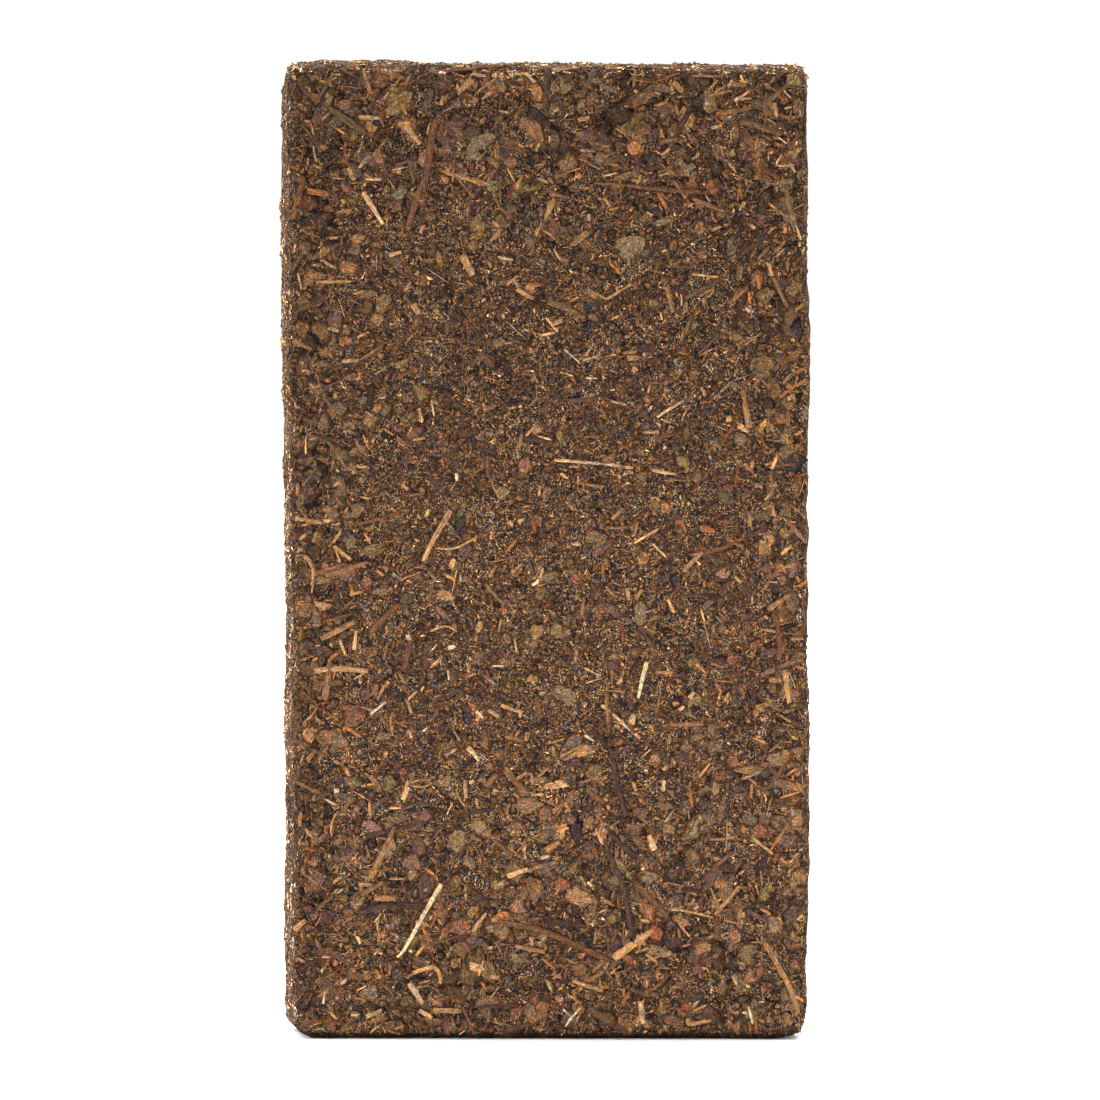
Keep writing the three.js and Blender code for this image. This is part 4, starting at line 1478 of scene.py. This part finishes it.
        ((1.9, 1.7), (499, 1033), (541, 1021)),
    ],
    "dark": [
        ((2.2, 2.0), (737, 257), (777, 230)),
        ((1.5, 1.3), (443, 390), (465, 410)),
        ((1.8, 1.5), (549, 384), (566, 357)),
        ((1.1, 0.9), (715, 408), (725, 400), (753, 403)),
        ((1.6, 2.0), (459, 816), (471, 813), (494, 809)),
        ((2.4, 2.0), (609, 738), (613, 760), (617, 785), (626, 816)),
        ((1.7, 2.0), (605, 826), (619, 842), (637, 859)),
        ((2.5, 2.3), (358, 914), (383, 906), (425, 906)),
        ((2.2, 2.0), (606, 850), (618, 873), (626, 900), (632, 937)),
        ((2.4, 2.1), (545, 921), (586, 926)),
        ((1.8, 1.5), (336, 590), (341, 617)),
        ((1.5, 1.3), (463, 1028), (479, 1010)),
    ],
}

# For each colour, its leaves: the middle in pixels, the length and width in millimetres, and the heading in
# degrees from level
LEAVES_SEEN = {
    "moss": [
        ((396, 105), (14.5, 12.5), 41),
        ((476, 236), (6.0, 3.4), 20),
    ],
    "tan": [
        ((453, 562), (4.8, 2.8), 75),
        ((557, 786), (10.5, 3.8), 2),
        ((476, 967), (8.0, 4.2), -15),
        ((416, 994), (8.0, 3.4), -58),
        ((741, 426), (3.0, 2.8), 0),
        ((635, 370), (2.6, 2.6), 0),
    ],
    "light": [
        ((313, 606), (15.5, 5.0), 3),
        ((445, 596), (7.8, 5.2), -10),
        ((766, 544), (13.0, 5.5), 50),
        ((786, 752), (3.2, 2.4), -20),
        ((585, 751), (7.5, 5.5), 15),
    ],
    "orange": [
        ((776, 137), (2.6, 2.5), 0),
        ((676, 703), (3.2, 2.4), 10),
    ],
    "warm": [
        ((523, 806), (16.0, 9.0), 5),
        ((317, 389), (7.4, 7.2), 20),
        ((333, 738), (14.0, 8.5), -15),
        ((315, 276), (13.0, 7.0), 5),
        ((682, 921), (9.0, 4.0), -22),
        ((706, 949), (8.6, 6.6), 30),
        ((412, 775), (3.2, 3.0), 0),
        ((588, 822), (6.4, 5.8), 70),
        ((462, 990), (12.0, 10.0), -45),
    ],
    "olive": [
        ((382, 303), (9.0, 5.8), 70),
        ((410, 418), (7.4, 6.6), 45),
        ((322, 364), (5.8, 5.2), 30),
        ((630, 123), (12.5, 10.5), 80),
        ((762, 366), (10.5, 8.8), 30),
        ((791, 448), (8.8, 5.8), 10),
        ((353, 512), (11.0, 6.2), 25),
        ((371, 550), (13.0, 5.0), 12),
        ((388, 784), (7.8, 6.2), 75),
        ((385, 736), (7.2, 4.6), 5),
        ((595, 772), (8.8, 7.2), 60),
        ((686, 747), (5.2, 4.2), 20),
        ((695, 664), (7.2, 5.2), -30),
        ((747, 953), (8.8, 7.6), 40),
        ((722, 628), (3.8, 2.2), 10),
        ((597, 541), (11.0, 8.0), -30),
    ],
    "grey": [
        ((747, 771), (12.0, 3.4), 5),
        ((480, 145), (14.0, 9.5), 34),
        ((632, 247), (12.0, 11.0), 62),
        ((402, 363), (6.6, 3.8), 15),
        ((428, 351), (3.6, 3.2), 0),
        ((786, 183), (7.4, 6.2), 20),
        ((332, 508), (4.4, 3.6), -60),
        ((363, 479), (3.6, 3.4), 0),
        ((501, 492), (7.2, 5.2), 45),
        ((546, 577), (7.4, 5.0), 5),
        ((641, 614), (9.6, 6.2), 80),
        ((567, 697), (14.0, 8.5), -35),
        ((445, 782), (6.6, 5.8), 40),
        ((476, 826), (7.8, 6.8), -20),
        ((389, 848), (8.4, 6.4), 70),
        ((457, 840), (9.2, 8.2), 30),
        ((696, 826), (15.5, 4.8), 62),
        ((489, 766), (4.0, 3.2), 60),
    ],
    "red": [
        ((403, 771), (3.6, 2.8), 10),
        ((645, 130), (6.6, 5.8), 60),
        ((684, 349), (3.8, 3.2), 60),
        ((469, 517), (5.0, 3.4), 85),
        ((355, 712), (9.4, 7.2), -5),
        ((619, 744), (5.4, 5.0), 0),
        ((761, 832), (7.2, 4.6), -50),
        ((741, 810), (2.6, 2.4), 0),
    ],
    "plum": [
        ((417, 323), (6.6, 4.5), 60),
        ((465, 550), (6.2, 4.6), 50),
        ((607, 608), (9.6, 5.2), -25),
        ((571, 778), (5.2, 4.6), -40),
        ((641, 814), (7.0, 6.4), 0),
        ((787, 838), (9.8, 8.2), 20),
    ],
    "dark": [
        ((747, 592), (7.6, 5.2), -60),
        ((784, 590), (6.4, 4.4), 5),
        ((443, 86), (9.0, 5.0), 10),
        ((306, 381), (6.0, 4.6), 70),
    ],
}


def drop_on_front(camera, surface, pixel):
    """Where the line of sight through a pixel of the photograph meets the front face."""
    side = SENSOR / camera.data.lens
    aim = Vector((
        (pixel[0] / PHOTO_SIZE - 0.5) * side,
        (0.5 - pixel[1] / PHOTO_SIZE) * side,
        -1.0,
    ))
    start = camera.matrix_world.translation
    ray = (camera.matrix_world.to_3x3() @ aim).normalized()
    place, _, _, _ = surface.tree.ray_cast(start, ray)
    if place is None:
        place, _, _, _ = surface.tree.find_nearest(start + ray * CAMERA_DISTANCE)
    return place


def curved_path(points, steps):
    """Points along a smooth curve through the given ones."""
    if len(points) == 2:
        return [points[0].lerp(points[1], step / steps) for step in range(steps + 1)]
    padded = [2 * points[0] - points[1], *points, 2 * points[-1] - points[-2]]
    spans = len(points) - 1
    curve = []
    for step in range(steps + 1):
        reach = min(step * spans / steps, spans - 1e-6)
        span = int(reach)
        share = reach - span
        before, start, end, after = padded[span:span + 4]
        curve.append(0.5 * (
            2 * start
            + (end - before) * share
            + (2 * before - 5 * start + 4 * end - after) * share ** 2
            + (3 * start - before - 3 * end + after) * share ** 3
        ))
    return curve


def stem_shape(rng, points, widths, sides=8):
    """A stem along the given points, with Z outwards."""
    shape = bmesh.new()
    steps = 4 * len(points)
    curve = curved_path(points, steps)
    grooves = rng.uniform(0.8, 1.12, sides)
    out = Vector((0, 0, 1))
    rings = []
    for step, centre in enumerate(curve):
        ahead = (curve[min(step + 1, steps)] - curve[max(step - 1, 0)]).normalized()
        across = out.cross(ahead).normalized()
        turn = Matrix((ahead, across, out * STEM_FLATNESS)).transposed()
        share = step / steps
        taper = 0.8 if step in (0, steps) else 1.0
        radius = (widths[0] + (widths[1] - widths[0]) * share) / 2 * MM * taper
        rings.append((centre, turn, radius * grooves * rng.uniform(0.9, 1.1, sides)))
    extrude_rod(shape, rings, sides)
    return Prototype(shape)


STEM_FLATNESS = 0.8
# How far a known stem's middle stands above the crumb, as a share of its width, and a known leaf's
STEM_PROUD = 0.22
LEAF_PROUD = 0.5 * MM
# The scale of a known leaf's crumpling, in millimetres
LEAF_CRUMPLE = 7.0
OUT_OF_FRONT = Vector((0, -1, 0))


def front_axes(along):
    """Axes with X along the given direction on the front face and Z out of it."""
    along = (along - OUT_OF_FRONT * along.dot(OUT_OF_FRONT)).normalized()
    return Matrix((along, OUT_OF_FRONT.cross(along), OUT_OF_FRONT)).transposed()


def known_colour(rng, tint):
    """A named colour, a little lighter or darker."""
    return np.array([linear(tint)]) * math.exp(rng.normal(0, 0.06))


def add_known(heap, shape, middle, axes, sizes, colour):
    """Adds one copy of a shape at its own place."""
    heap.add(shape, np.array([middle[:]]), np.array(axes)[None], sizes, colour)


def place_known_stems(rng, camera, surface, finish):
    """The stems, straws and chips that the photograph shows, each along its own path."""
    heap = Heap()
    seen = [(tint, stem) for tint, stems in STEMS_SEEN.items() for stem in stems]
    for tint, (widths, *path) in seen:
        points = [drop_on_front(camera, surface, pixel) for pixel in path]
        middle = sum(points, Vector()) / len(points)
        axes = front_axes(points[-1] - points[0])
        lift = Vector((0, 0, STEM_PROUD * min(widths) * MM))
        local = [axes.transposed() @ (point - middle) + lift for point in points]
        shape = stem_shape(rng, local, widths)
        add_known(heap, shape, middle, axes, np.ones((1, 3)), known_colour(rng, tint))
    return heap.join("known_stems", finish)


def place_known_leaves(rng, camera, surface, finish):
    """The leaves that the photograph shows, each at its own place and heading."""
    heap = Heap()
    seen = [(tint, leaf) for tint, leaves in LEAVES_SEEN.items() for leaf in leaves]
    for tint, (centre, (length, width), degrees) in seen:
        heading = math.radians(degrees)
        axes = front_axes(Vector((math.cos(heading), 0, math.sin(heading))))
        middle = drop_on_front(camera, surface, centre) + OUT_OF_FRONT * LEAF_PROUD
        colour = known_colour(rng, tint)
        shape = torn_leaf(rng, columns=10, rows=7, kept=(0.26, 0.46))
        add_known(heap, shape, middle, axes, np.array([[length, width, LEAF_CRUMPLE]]) * MM, colour)
    return heap.join("known_leaves", finish)


def make_tea():
    """Every piece of the brick."""
    rng = np.random.default_rng(SEED)
    core = make_core()
    surface = Surface(core)
    camera = bpy.context.scene.camera
    leaf = plant_finish("leaf", run=2.4 * MM, across=0.4 * MM, contrast=0.26, speckled=0.36)
    grain = plant_finish("crumb grain", run=1.2 * MM, across=0.35 * MM, contrast=0.5, speckled=0.8)
    edge = plant_finish("leaf edge", run=3.0 * MM, across=0.3 * MM, contrast=0.8, speckled=0.9)
    stalk = plant_finish("stalk", run=4.0 * MM, across=0.22 * MM, contrast=0.8, speckled=0.28)
    return [
        core,
        scatter_leaves(rng, surface, leaf),
        scatter_scraps(rng, surface, leaf),
        scatter_crumbs(rng, surface, grain),
        scatter_edges(rng, surface, edge),
        scatter_stems(rng, surface, stalk),
        scatter_fibres(rng, surface, stalk),
        scatter_chips(rng, surface, stalk),
        place_known_stems(rng, camera, surface, stalk),
        place_known_leaves(rng, camera, surface, leaf),
    ]


SEED = 808

make_camera()
make_studio()
for tea_piece in make_tea():
    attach(tea_piece, BODY)
    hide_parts(NODE)
